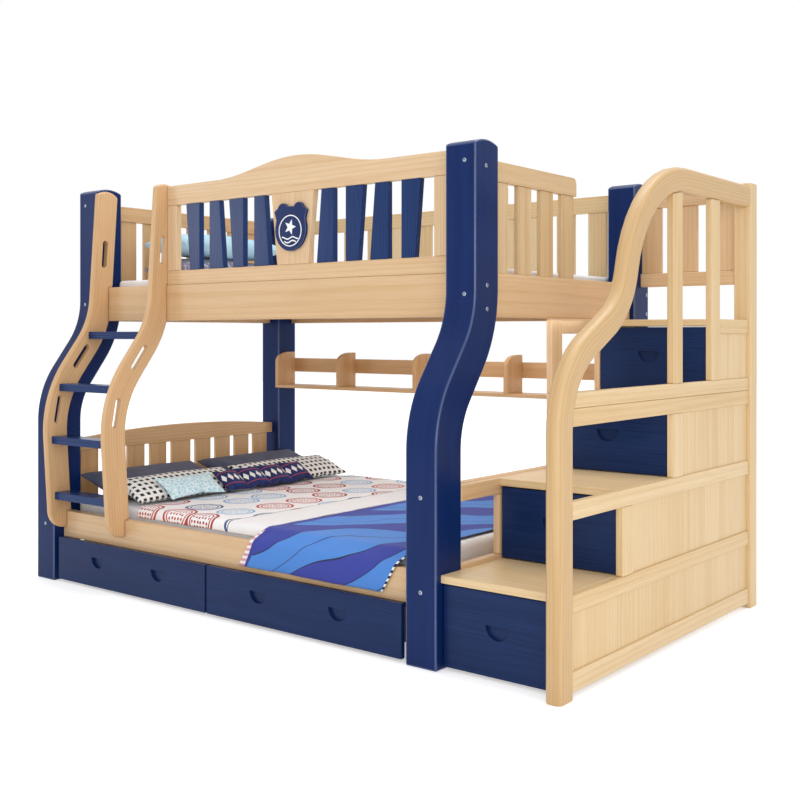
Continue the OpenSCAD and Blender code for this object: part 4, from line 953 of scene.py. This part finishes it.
def layCloth(name, look, material, node):
    # A flat cut laid along a path from front to back, with its swells and its thickness
    path = route(look["path"], look["radii"])
    total = path[1][-1]
    bm = bmesh.new()
    nx, ny = int(look["width"] / look["cell"]), int(total / look["cell"])
    bmesh.ops.create_grid(bm, x_segments=nx, y_segments=ny, size=0.5)
    cut = bm.verts.layers.float_vector.new("flatCut")
    for vert in bm.verts:
        u, s = (vert.co.x + 0.5) * look["width"], (vert.co.y + 0.5) * total
        spot, out = onRoute(path, s)
        swell = look["swell"](u, s)
        x = look["left"] + u + look["lean"](u, s)
        vert[cut] = Vector((u * mm, s * mm, 0))
        vert.co = at(x, spot.x + out.x * swell, spot.y + out.y * swell)
    bm.normal_update()
    if sum(f.normal.z for f in bm.faces) < 0:
        bmesh.ops.reverse_faces(bm, faces=bm.faces[:])
    piece = finished(name, bm, material, "bed", sharp=80)
    thick = piece.modifiers.new("thickness", "SOLIDIFY")
    thick.thickness = look["thick"] * mm
    thick.offset = -1
    softened(piece)
    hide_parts(node)
    return piece


def ripple(u, s, size, seed):
    # Smooth chance waves between -1 and 1, about size mm long
    return noise.noise(Vector((u / size, s / size, seed)))


def coverSwell(u, s):
    # Soft waves over the mattress, in mm: u is across the cloth and s along its path
    return 6.0 + 2.2 * ripple(u, s, 90, 3) + 1.4 * ripple(u * 1.4, s * 0.6, 45, 8)


def throwSwell(u, s):
    # Soft folds where the throw hangs, and low waves on the bed
    hang = max(0.0, 1 - s / throw["hang"])
    folds = 3.2 * math.sin(u / 62 + 0.8 * math.sin(u / 190)) + 1.2 * math.sin(u / 27 + 2)
    return 6.5 + hang * (2.5 + folds) + 2.0 * ripple(u, s, 110, 5) * (1 - hang) \
        + 1.2 * ripple(u, s * 0.5, 50, 9)


cover = {
    "left": -1620, "width": 749, "cell": 9, "thick": 4.5, "bandStart": 548, "piping": 2.2,
    "path": [(101.5, 309), (101.5, 346), (1436, 346)], "radii": [26],
    "swell": coverSwell, "lean": lambda u, s: 0.0,
}
throw = {
    "left": -860, "width": 695, "cell": 9, "thick": 4.5, "border": 46, "strip": 34, "hang": 150,
    "path": [(47.5, 208), (47.5, 303), (103.5, 346), (1436, 346)], "radii": [12, 40],
    # The hanging part slants to the left
    "swell": throwSwell, "lean": lambda u, s: -90.0 * max(0.0, 1 - s / 170) ** 1.2,
}
printedCotton = cottonCloth("printed white cotton", coverPattern, 2.6)
throwCotton = cottonCloth("printed brushed cotton", throwPattern, 2.6)
layCloth("cover_printed", cover, printedCotton, "bed_cover")
layCloth("throw_blue", throw, throwCotton, "throw")
print("cover and throw laid")


def seenDirectly(tree):
    # 1 for what the camera sees, straight, in a gloss or through glass
    paths = add(tree, "ShaderNodeLightPath").outputs
    return maths(tree, "MAXIMUM", paths["Is Camera Ray"],
                 maths(tree, "MAXIMUM", paths["Is Glossy Ray"], paths["Is Transmission Ray"]))


def studioFloor():
    # A pale floor 30 m wide, just under the feet
    material, tree, shader = newMaterial("pale studio floor", Roughness=0.6)
    place = add(tree, "ShaderNodeTexCoord").outputs["Object"]
    tint = toned(tree, clouded(tree, place, 2.0, 3.0), [(0.0, "#F4F4F4"), (1.0, "#F8F8F8")])
    tree.links.new(tint, shader.inputs["Base Color"])
    # What the camera sees is lifted to white, and the object's shadow stays
    lift = maths(tree, "MULTIPLY", seenDirectly(tree), lightLook["floorLift"])
    glow = add(tree, "ShaderNodeEmission", {"Color": (1, 1, 1, 1), "Strength": lift})
    both = add(tree, "ShaderNodeAddShader", {0: shader.outputs[0], 1: glow.outputs[0]})
    tree.links.new(both.outputs[0], tree.nodes["Material Output"].inputs["Surface"])
    bm = bmesh.new()
    bmesh.ops.create_grid(bm, x_segments=1, y_segments=1, size=15)
    bmesh.ops.translate(bm, vec=(0, 4, -0.5 * mm), verts=bm.verts)
    mesh = bpy.data.meshes.new("floor")
    bm.to_mesh(mesh)
    bm.free()
    mesh.materials.append(material)
    ground = bpy.data.objects.new("floor", mesh)
    scene.collection.objects.link(ground)


def whiteRoom():
    # A white surrounding, which lights the object less than it shows
    world = bpy.data.worlds.new("white studio")
    scene.world = world
    world.use_nodes = True
    tree = world.node_tree
    back = tree.nodes["Background"]
    back.inputs["Color"].default_value = (1, 1, 1, 1)
    level = lightLook["world"]
    strength = maths(tree, "ADD", level, maths(tree, "MULTIPLY", seenDirectly(tree), 1 - level))
    tree.links.new(strength, back.inputs["Strength"])


def lamps():
    for name, place, aim, size, power in lightLook["lamps"]:
        lamp = bpy.data.lights.new(name, "AREA")
        lamp.shape = "DISK"
        lamp.size = size
        lamp.energy = power
        body = bpy.data.objects.new(name, lamp)
        body.location = place
        body.rotation_euler = (Vector(aim) - Vector(place)).to_track_quat("-Z", "Y").to_euler()
        body.visible_camera = False  # no lamp shows in the picture
        scene.collection.objects.link(body)


lightLook = {
    "world": 0.74, "floorLift": 0.45,
    # Name, place, what it points at (m), width (m), power (W)
    "lamps": [("left", (-3.6, -3.2, 1.9), (-0.5, -0.7, 1.5), 1.0, 14),
              ("fill", (3.4, -4.3, 1.6), (0, 0, 0.8), 2.2, 46),
              ("side", (6.0, -2.0, 3.5), (0, 0, 0.7), 4.0, 48),
              ("strip", (5.0, -3.7, 1.5), (0.8, -0.6, 1.1), 0.7, 12),
              ("under", (0.2, 0.0, 1.12), (0.2, 0.0, 0.4), 1.4, 5),
              ("top", (0.5, 1.0, 6.5), (0, 0, 0.5), 4.0, 165)],
}
studioFloor()
whiteRoom()
lamps()

# The camera solved from the photo: level, with the picture shifted downwards
view = {"lens": 49.33, "sensor": 36, "yaw": 38.65, "shift": -0.0825, "reach": 100,
        "place": (2074.9, -2776.7, 1070.0)}
camera = bpy.data.cameras.new("camera")
camera.lens = view["lens"]
camera.sensor_width = view["sensor"]
camera.shift_y = view["shift"]
camera.clip_end = view["reach"]
eye = bpy.data.objects.new("camera", camera)
eye.location = at(*view["place"])
eye.rotation_euler = (math.radians(90), 0, math.radians(view["yaw"]))
scene.collection.objects.link(eye)
scene.camera = eye
scene.view_settings.view_transform = "Standard"

bpy.context.view_layer.update()
print("ready")
